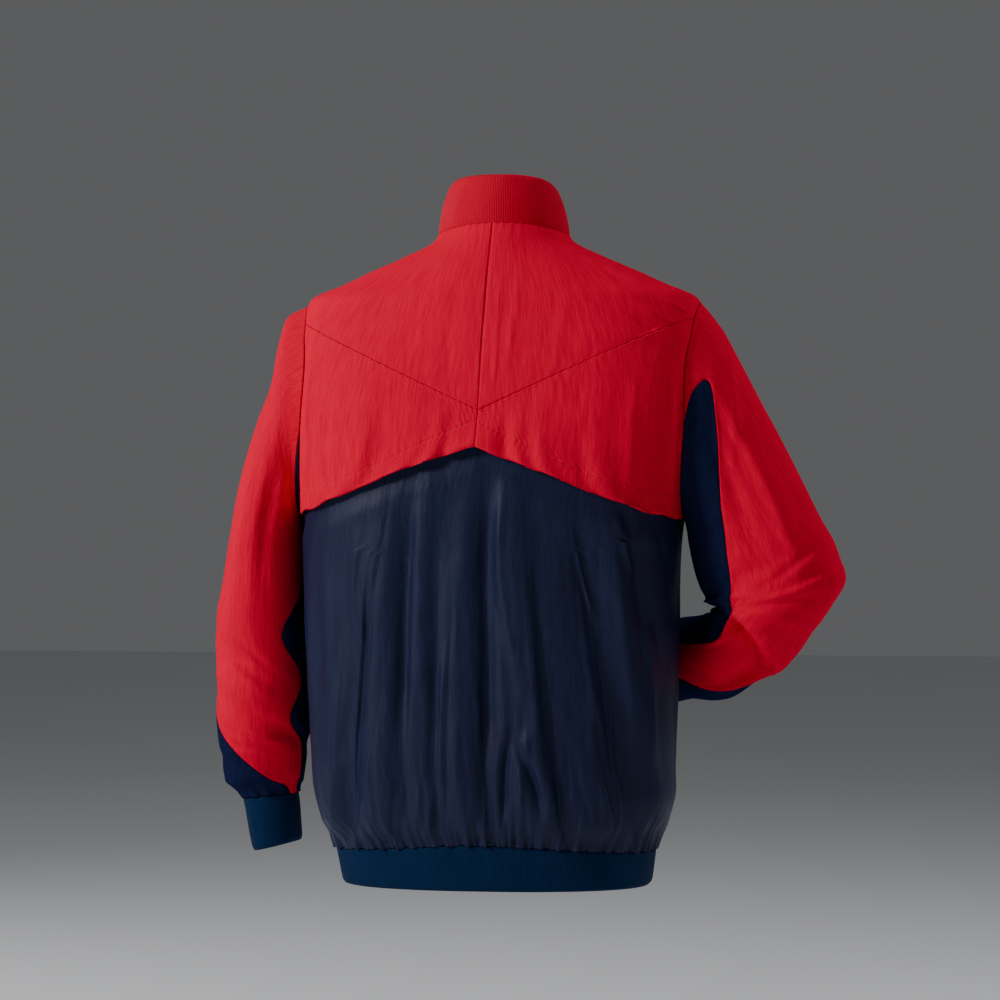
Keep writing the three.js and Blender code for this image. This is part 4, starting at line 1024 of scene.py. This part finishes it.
rightRings = table(ringColumns, [
    (0, 0, 0, 0, 0, 0, 70, 0, -62, 97),
    (224, 2, -82, 194.8, 2, -295.5, 72, 0, -62, 74),
    (236, 2, -99, 195.6, 2, -298.5, 72, 0, -62, 62),
    (254, 2, -133, 196.4, 2, -302, 71, 0, -61, 75),
    (279, 2, -181, 197.3, 2, -307, 69, 0, -60, 94),
    (301, 1, -222, 198.5, 2, -315, 66, 0, -59, 104),
    (320, 0, -259, 200.5, 2, -326, 63, 0, -58, 109),
    (336, -2, -292, 204, 3, -343, 61, 1, -56, 113),
    (352, -5, -321, 210.5, 6, -363, 59, 4, -52, 117),
    (361, -9, -353, 217.5, 12, -376, 59, 9, -45, 120),
    (346, -10, -382, 221, 18, -381.5, 59, 16, -36, 116),
    (325, -4, -410, 223.5, 24, -385, 58, 25, -26, 110),
    (302, 12, -443, 224, 32, -388.5, 55, 35, -12, 110),
    (262, 46, -468, 221, 52, -392, 51, 43, 12, 118),
    (226, 85, -486, 208, 89, -395, 48, 46, 64, 118),
    (189, 124, -489, 186, 124, -400, 45, 43, 80, 115),
    (152, 151, -497, 150, 150, -414, 41, 32, 86, 113),
    (124, 162, -500, 122, 161, -434, 33, 21, 88, 113),
    (113, 166, -500, 112, 165, -441, 29.5, 15, 88, 113),
    (60, 176, -512, 59, 175, -457, 27.5, 12, 88, 113),
])
creaseColumns = "at slant around spread length depth"
leftCreases = table(creaseColumns, [
    (6, 0, 60, 14, 2.6, 3),
    (5, 0, 105, 12, 2.2, -4),
    (8.6, 0.012, 70, 50, 0.28, -5),
    (9.3, 0.01, 62, 44, 0.26, 3.5),
    (10, 0.01, 95, 46, 0.3, -5),
    (9.4, -0.01, -80, 50, 0.3, -5),
    (11.4, 0.006, 30, 50, 0.3, -3),
])
rightCreases = table(creaseColumns, [
    (5.5, 0, 58, 13, 2.6, 4),
    (5, 0, 88, 10, 2.4, -4),
    (9.4, 0.004, 150, 34, 0.34, 5),
    (10.5, 0.004, 150, 40, 0.34, -7),
    (11.4, -0.008, 55, 44, 0.34, -5),
    (8.7, 0.01, 40, 40, 0.36, -4),
    (13.4, 0.01, 70, 46, 0.36, -4),
    (10.2, 0, -110, 44, 0.4, -5),
])


def makeArm(side, rings, creases, end, seed):
    def seamAt(phi):
        points = bodyPoint(*armholeSpot(side, phi), cloth["rise"])
        points[..., 0] += side * armhole["gap"]
        return points

    top, low = seamAt(np.array([0.0]))[0], seamAt(np.array([math.pi]))[0]
    first = dict(rings[0], ox=top[0], oy=top[1], oz=top[2], ix=low[0], iy=low[1], iz=low[2])
    curves = tableCurves([first, *rings[1:]], range(len(rings)))
    return {"side": side, "curves": curves, "creases": creases, "end": end, "seamAt": seamAt, "seed": seed}


def ringFrame(arm, t):
    read = {key: curve(t) for key, curve in arm["curves"].items()}
    outermost = np.stack([read["ox"], read["oy"], read["oz"]], -1)
    innermost = np.stack([read["ix"], read["iy"], read["iz"]], -1)
    span = outermost - innermost
    out = unit(span)
    turn = read["turn"] * degree
    back = np.stack([-arm["side"] * np.sin(turn), -np.cos(turn), np.zeros_like(turn)], -1)
    back = unit(back - out * (back * out).sum(-1, keepdims=True))
    return (outermost + innermost) / 2, out, back, np.linalg.norm(span, axis=-1) / 2, read["depth"]


def ringPoint(ring, phi, rise):
    centre, out, back, reach, depth = ring
    across, along = np.cos(phi) / reach, np.sin(phi) / depth
    length = np.hypot(across, along)
    return (centre + out * (reach * np.cos(phi) + rise * across / length)[..., None]
            + back * (depth * np.sin(phi) + rise * along / length)[..., None])


overhang = {"at": 11.6, "slant": -0.0157, "around": 62, "spread": 58, "ridge": 6, "ridgeLength": 0.35,
            "drop": -22, "edge": 0.1, "recovery": 1.1}


# The cloth of the right upper arm folds over the forearm: a ridge, a sharp drop and a slow recovery
def elbowFold(t, phi):
    around = np.mod(phi / degree - overhang["around"] + 180, 360) - 180
    past = t - overhang["at"] - overhang["slant"] * around
    ridge = overhang["ridge"] * bell(past + overhang["ridgeLength"], overhang["ridgeLength"])
    drop = overhang["drop"] * smooth(past, -overhang["edge"] / 2, overhang["edge"])
    drop = drop * bell(np.maximum(past, 0), overhang["recovery"])
    return (ridge + drop) * np.exp(-(around / overhang["spread"]) ** 4)


def creaseHeight(t, phi, creases):
    total = np.zeros_like(t)
    for crease in creases:
        around = np.mod(phi / degree - crease["around"] + 180, 360) - 180
        along = (t - crease["at"] - crease["slant"] * around) / crease["length"]
        total += crease["depth"] * np.exp(-along ** 2 - (around / crease["spread"]) ** 2)
    return total


def sleevePoint(arm, t, phi, rise):
    ring = ringFrame(arm, t)
    end = arm["end"]
    calm = smooth(t, 0.4, 2) * (1 - smooth(t, end - 0.8, end))
    ripple = smooth(t, end - 1.3, end) * (t <= end) * 1.4 * np.sin(12 * phi)
    fine = smooth(t, end - 0.7, end) * (t <= end) * 0.9 * np.sin(31 * phi + 2 * np.sin(3 * phi))
    points = ringPoint(ring, phi, rise + calm * creaseHeight(t, phi, arm["creases"]) + ripple + fine)
    hold = 1 - smooth(t, 0, 2.5)
    start = ringPoint(ringFrame(arm, np.zeros_like(t)), phi, 0.0)
    return points + (arm["seamAt"](phi) - start) * hold[..., None]


def scatterCreases(seed, count, spans, depth, lengths, spreads):
    draw = np.random.RandomState(seed)
    rows = []
    for k in range(count):
        at = mix(spans[0], spans[1], (k + draw.uniform(0, 1)) / count)
        sign = 1 if draw.uniform() < 0.5 else -1
        rows.append((at, draw.uniform(-0.02, 0.02), draw.uniform(-180, 180), draw.uniform(*spreads),
                     draw.uniform(*lengths), sign * depth * draw.uniform(0.5, 1)))
    return table(creaseColumns, rows)


leftDetail = [
    *scatterCreases(71, 26, (1.5, 8), 1.5, (0.9, 2.6), (7, 16)),
    *scatterCreases(72, 24, (8, 12.6), 2.0, (0.13, 0.3), (22, 48)),
    *table(creaseColumns, [
        (8.3, 0.016, 86, 34, 0.16, -2.5),
        (8.9, 0.014, 78, 36, 0.14, 2.5),
        (9.7, 0.014, 84, 38, 0.15, -2.6),
        (10.5, 0.012, 90, 40, 0.17, 2.4),
        (11.0, 0.012, 76, 36, 0.15, -2.2),
    ]),
]
rightDetail = [
    *scatterCreases(81, 24, (1.5, 8), 1.5, (0.9, 2.4), (7, 15)),
    *scatterCreases(82, 34, (8, 17.5), 2.0, (0.16, 0.4), (20, 44)),
    *table(creaseColumns, [
        (8.2, 0.02, 60, 26, 0.2, -2.8),
        (9.0, 0.016, 46, 28, 0.18, 2.6),
        (9.8, 0.006, 62, 30, 0.2, -3.0),
        (10.6, -0.006, 52, 30, 0.2, 2.8),
        (11.9, -0.01, 66, 34, 0.24, 2.4),
        (2.9, 0.027, 35, 30, 0.2, 1.8),
        (3.4, 0.027, 35, 30, 0.3, -1.2),
        (5.2, 0, 60, 4, 2.2, 1.6),
        (5.0, 0, 70, 6, 2.4, -1.8),
    ]),
]


def sleevePanel(arm, name, start, end, grid, length, material, node):
    def panelWidth(t):
        _, _, _, reach, depth = ringFrame(arm, t)
        return np.abs(end(t) - start(t)) * degree * (reach + depth) / 2

    def place(u, v, lift):
        t = v * arm["end"]
        around = end(t) - start(t)
        phi = (start(t) + around * u) * degree
        width = panelWidth(t)
        edge = np.minimum(u, 1 - u) * width
        toHead, toCuff = v * length, (1 - v) * length
        detail = creaseHeight(t, phi, arm["detail"]) + softCloth(phi * 55, v * length, arm["seed"], 0.5)
        if arm["side"] > 0:
            detail = detail + elbowFold(t, phi)
        inner = smooth(toHead, 4, 30) * smooth(edge, 0, 8) * smooth(toCuff, 0, 26)
        rise = inner * detail + seamGroove(edge, 0.5, 1.3) + seamGroove(toHead, 0.35, 1.2)
        rise += puckers(edge, v * length, 11, 0.3, 6, 0.4, arm["seed"]) * smooth(toHead, 2, 20)
        rise += puckers(toHead, phi * 75, 10, 0.35, 7, 0.2, arm["seed"] + 1)
        return sleevePoint(arm, t, phi, rise + lift)

    def shade(u, v):
        width = panelWidth(v * arm["end"])
        return bell(np.minimum.reduce([np.minimum(u, 1 - u) * width, v * length, (1 - v) * length]), 1.8)

    def weave(u, v):
        t = v * arm["end"]
        return mix(start(t), end(t), u) * degree * 62, -v * length

    return clothPiece(name, place, weave, grid, material, cloth["wall"], node, shade)


def makeSleeve(arm, label, topGrid, underGrid, length):
    front, rear = arm["curves"]["front"], arm["curves"]["rear"]
    node = label.lower()
    top = sleevePanel(arm, f"sleeveTop{label}", front, rear, topGrid, length, redNylon,
                      f"sleeve_top_{node}")
    under = sleevePanel(arm, f"sleeveUnder{label}", rear, lambda t: front(t) + 360, underGrid, length,
                        sleeveNylon, f"sleeve_under_{node}")
    return top, under


def makeCuff(arm, label):
    def place(u, v, lift):
        t = arm["end"] + mix(0.004, 1, v)
        plump = 0.9 * np.sin(math.pi * v) ** 0.6 - 1.4 * bell((1 - v) * knit["cuffLong"], 2.2)
        drawn = 0.5 * softNoise(u * 24, v * 3, arm["seed"] + 9) * np.sin(math.pi * v)
        return sleevePoint(arm, t, u * 2 * math.pi, plump + drawn - 0.3 + lift)

    def weave(u, v):
        return u * 2 * math.pi * knit["cuffRadius"], -knit["cuffLong"] * v

    return clothPiece(f"cuff{label}", place, weave, (144, 24), blueRib, knit["wall"],
                      f"cuff_{label.lower()}", None, closed=True)


# Front zip: s runs from the foot of the waistband to the top of the collar

zipSizes = {"near": 0.8, "far": 15, "tapeWall": 1.0, "gap": 0.3, "underKnit": 2.0, "underCloth": 1.2,
            "behind": 0.8, "toothPitch": 2.5, "length": 685}
tooth = {"across": 3.0, "along": 1.15, "thick": 1.7, "offset": 1.05, "rise": 0.95, "bevel": 0.25}
neckFront = float(neckHeight(np.array([math.pi]))[0])
neckShare = (neckFront - body["hemBottom"]) / (collar["front"] - body["hemBottom"])
hemShare = (body["hemSeam"] - body["hemBottom"]) / (neckFront - body["hemBottom"]) * neckShare


def tapeFace(s):
    aboveBand = smooth(s, hemShare + 0.004, hemShare + 0.016)
    belowCollar = 1 - smooth(s, neckShare - 0.016, neckShare - 0.004)
    under = mix(zipSizes["underKnit"], zipSizes["underCloth"], aboveBand * belowCollar)
    return -under - zipSizes["behind"]


def zipPoint(x, s, rise):
    z = mix(body["hemBottom"], neckFront, np.clip(s / neckShare, 0, 1))
    low = bodyPoint(math.pi - np.arcsin(x / form["front"](-z)), z, rise + cloth["rise"])
    onCollar = np.clip((s - neckShare) / (1 - neckShare), 0, 1)
    high = collarPoint(math.pi - np.arcsin(x / neck["front"]), onCollar, rise + 0 * x)
    return np.where((s <= neckShare)[..., None], low, high)


def makeTape(side, label):
    def place(u, v, lift):
        s = mix(0.002, 0.998, v)
        x = side * mix(zipSizes["near"], zipSizes["far"], u)
        return zipPoint(x, s, tapeFace(s) + lift)

    def weave(u, v):
        return u * (zipSizes["far"] - zipSizes["near"]), v * zipSizes["length"]

    return clothPiece(f"zipTape{label}", place, weave, (8, 150), tapeWeave, zipSizes["tapeWall"],
                      f"zip_tape_{label.lower()}")


def makeTeeth():
    count = int(zipSizes["length"] / zipSizes["toothPitch"])
    bm = bmesh.new()
    for k in range(2 * count):
        side = 1 if k % 2 else -1
        s = np.array([mix(0.004, 0.996, (k + 0.5) / (2 * count))])
        x = np.array([side * tooth["offset"]])
        rise = tapeFace(s) + zipSizes["gap"] + tooth["rise"]
        centre = zipPoint(x, s, rise)[0]
        up = unit(zipPoint(x, s + 0.001, rise)[0] - zipPoint(x, s - 0.001, rise)[0])
        out = unit(zipPoint(x, s, rise + 1)[0] - centre)
        across = np.cross(up, out)
        sides = [Vector(across) * tooth["across"], Vector(up) * tooth["along"], Vector(out) * tooth["thick"]]
        basis = (Matrix(sides).transposed() * mm).to_4x4()
        bmesh.ops.create_cube(bm, size=1, matrix=Matrix.Translation(centre * mm) @ basis)
    bmesh.ops.bevel(bm, geom=bm.edges[:], offset=tooth["bevel"] * mm, segments=1, profile=0.5,
                    affect="EDGES", material=-1)
    teeth = newObject("zipTeeth", meshFrom(bm, "zipTeeth"), zipMetal)
    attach(teeth, "garment")
    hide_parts("zip_chain")
    return teeth


# Topstitching: small beads of thread along a path on the cloth

stitch = {"length": 2.3, "pitch": 3.1, "radius": 0.3, "lift": 0.12}


def sewLine(bm, place, count):
    s = (np.arange(count) + 0.5) / count
    step = 0.2 / count
    centres = place(s, stitch["lift"])
    tangents = unit(place(s + step, stitch["lift"]) - place(s - step, stitch["lift"]))
    outs = unit(place(s, 1.0) - place(s, 0.0))
    for centre, tangent, out in zip(centres, tangents, outs):
        side = np.cross(tangent, out)
        half, thin = stitch["length"] / 2, stitch["radius"]
        basis = (Matrix([Vector(tangent) * half, Vector(side) * thin, Vector(out) * thin]).transposed() * mm)
        spot = Matrix.Translation(centre * mm) @ basis.to_4x4()
        bmesh.ops.create_icosphere(bm, subdivisions=1, radius=1, matrix=spot)


def makeStitching(name, lines, thread):
    bm = bmesh.new()
    for place in lines:
        samples = place(np.linspace(0, 1, 60), 0.0)
        length = np.linalg.norm(np.diff(samples, axis=0), axis=1).sum()
        sewLine(bm, place, int(length / stitch["pitch"]))
    piece = newObject(name, meshFrom(bm, name), thread)
    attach(piece, "garment")
    return piece


stitchLines = {"seamOffset": 1.8, "frontOffset": 7}


def sewGarment():
    def across(piece, offset):
        return lambda s, lift: places[piece](0.004 + 0.992 * s, offset(s), lift)

    def along(piece, offset):
        return lambda s, lift: places[piece](offset + 0 * s, 0.004 + 0.992 * s, lift)

    def belowSeam(tall):
        return lambda s: stitchLines["seamOffset"] / tall(s)

    def aboveHem(tall):
        return lambda s: 1 - flap["hemLine"] / tall(s)

    red, navy = [along("yokeBackLeft", stitchLines["seamOffset"] / panelSizes["yoke"][0])], []
    for side, label in ((-1, "Left"), (1, "Right")):
        tall = flapTall(side)
        red.append(across(f"flap{label}", belowSeam(tall)))
        red.append(across(f"flap{label}", aboveHem(tall)))
        red.append(along(f"frontUpper{label}", stitchLines["frontOffset"] / panelSizes["frontUpper"][0]))
        navy.append(along(f"frontLower{label}", stitchLines["frontOffset"] / panelSizes["frontLower"][0]))
    makeStitching("redTopstitch", red, redThread)
    makeStitching("navyTopstitch", navy, navyThread)


# Camera, lights and floor

def makeStage():
    eye = {"distance": 3.7, "azimuth": 8 * degree, "height": -0.273, "frame": 1.05}
    data = bpy.data.cameras.new("camera")
    camera = bpy.data.objects.new("camera", data)
    bpy.context.scene.collection.objects.link(camera)
    data.sensor_width = 36
    data.lens = 36 * eye["distance"] / eye["frame"]
    away = eye["distance"]
    camera.location = (away * math.sin(eye["azimuth"]), -away * math.cos(eye["azimuth"]), eye["height"])
    camera.rotation_euler = (math.pi / 2, 0, eye["azimuth"])
    bpy.context.scene.camera = camera

    lights = table("name x y z size energy", [
        ("key", -2.9, -2.0, 1.2, 0.9, 130),
        ("fill", 2.2, -3.2, 0.4, 2.4, 9),
        ("rim", 2.5, 1.2, 1.0, 0.8, 30),
        ("rimLeft", -2.3, 1.7, 0.9, 1.0, 20),
        ("top", 0.2, -0.3, 2.4, 1.4, 14),
    ])
    for row in lights:
        data = bpy.data.lights.new(row["name"], "AREA")
        data.size = row["size"]
        data.energy = row["energy"]
        lamp = bpy.data.objects.new(row["name"], data)
        bpy.context.scene.collection.objects.link(lamp)
        lamp.location = (row["x"], row["y"], row["z"])
        lamp.rotation_euler = (Vector((0, 0, -0.3)) - lamp.location).to_track_quat("-Z", "Y").to_euler()

    world = bpy.data.worlds.new("studio")
    world.use_nodes = True
    backdrop = world.node_tree.nodes["Background"].inputs
    backdrop["Color"].default_value = (0.78, 0.79, 0.81, 1)
    backdrop["Strength"].default_value = 0.14
    bpy.context.scene.world = world

    bm = bmesh.new()
    bmesh.ops.create_grid(bm, x_segments=1, y_segments=1, size=14)
    mesh = meshFrom(bm, "floor")
    mesh.transform(Matrix.Translation((0, 0, -1.05)))
    look = Look("studio floor")
    cloud = look.grain(0.7, 2.0)
    floor = newObject("floor", mesh, look.finish(
        Base_Color=look.blend(cloud, (0.76, 0.77, 0.79, 1), (0.82, 0.83, 0.85, 1)), Roughness=0.9))


# Each piece as it was cut: width and length, area where it isn't a rectangle, and what it hangs from
cuts = table("name width length area held hangsFrom", [
    ("yokeLeft", 0.235, 0.20, 0.037, "draped", ()),
    ("yokeRight", 0.235, 0.20, 0.037, "draped", ()),
    ("flapLeft", 0.235, 0.205, 0.029, "hung", ("yokeLeft",)),
    ("flapRight", 0.235, 0.205, 0.029, "hung", ("yokeRight",)),
    ("back", 0.60, 0.46, None, "gathered", ("yokeLeft", "yokeRight")),
    ("frontUpperLeft", 0.26, 0.30, 0.060, "hung", ("yokeLeft",)),
    ("frontUpperRight", 0.26, 0.30, 0.060, "hung", ("yokeRight",)),
    ("frontLowerLeft", 0.28, 0.335, 0.090, "gathered", ("frontUpperLeft",)),
    ("frontLowerRight", 0.28, 0.335, 0.090, "gathered", ("frontUpperRight",)),
    ("topLeft", 0.27, 0.60, 0.084, "hung", ("yokeLeft",)),
    ("topRight", 0.25, 0.62, 0.079, "hung", ("yokeRight",)),
    ("underLeft", 0.22, 0.60, 0.070, "hung", ("topLeft",)),
    ("underRight", 0.24, 0.62, 0.095, "hung", ("topRight",)),
    ("cuffLeft", 0.165, 0.057, None, "stretched", ("topLeft",)),
    ("cuffRight", 0.165, 0.057, None, "stretched", ("topRight",)),
    ("waistband", 0.73, 0.048, None, "stretched", ("back",)),
    ("collar", 0.345, 0.055, None, "stretched", ("yokeLeft", "yokeRight")),
    ("tapeLeft", 0.0142, 0.685, None, "hung", ("frontUpperLeft",)),
    ("tapeRight", 0.0142, 0.685, None, "hung", ("frontUpperRight",)),
])

makeStage()
made = {}
for side, label in ((-1, "Left"), (1, "Right")):
    made[f"yoke{label}"] = makeYoke(side, label)
    made[f"flap{label}"] = makeFlap(side, label)
    made[f"frontUpper{label}"] = makeFrontUpper(side, label)
    made[f"frontLower{label}"] = makeFrontLower(side, label)
made["back"] = makeBack()
made["waistband"] = makeWaistband()
print("body panels laid")
made["collar"] = makeCollar()
leftArm = makeArm(-1, leftRings, leftCreases, 13, 91)
leftArm["detail"] = leftDetail
rightArm = makeArm(1, rightRings, rightCreases, 18, 95)
rightArm["detail"] = rightDetail
made["topLeft"], made["underLeft"] = makeSleeve(leftArm, "Left", (76, 170), (96, 170), 590)
made["topRight"], made["underRight"] = makeSleeve(rightArm, "Right", (76, 190), (96, 190), 620)
made["cuffLeft"] = makeCuff(leftArm, "Left")
made["cuffRight"] = makeCuff(rightArm, "Right")
print("sleeves and collar laid")
for side, label in ((-1, "Left"), (1, "Right")):
    made[f"tape{label}"] = makeTape(side, label)
makeTeeth()
for node in ("zip_slider", "zip_pull_tab"):
    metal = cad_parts[node].data.materials
    metal.clear()
    metal.append(zipMetal)
print("zip made")

sewGarment()
print("topstitching sewn")

for cut in cuts:
    piece = made[cut["name"]]
    area = sum(face.area for face in piece.data.polygons)
    flatArea = cut["area"] or cut["width"] * cut["length"]
    print(f"{cut['name']}: cloth {area:.4f}, cut {flatArea:.4f}, share {area / flatArea:.2f}")
    [made[other] for other in cut["hangsFrom"]]
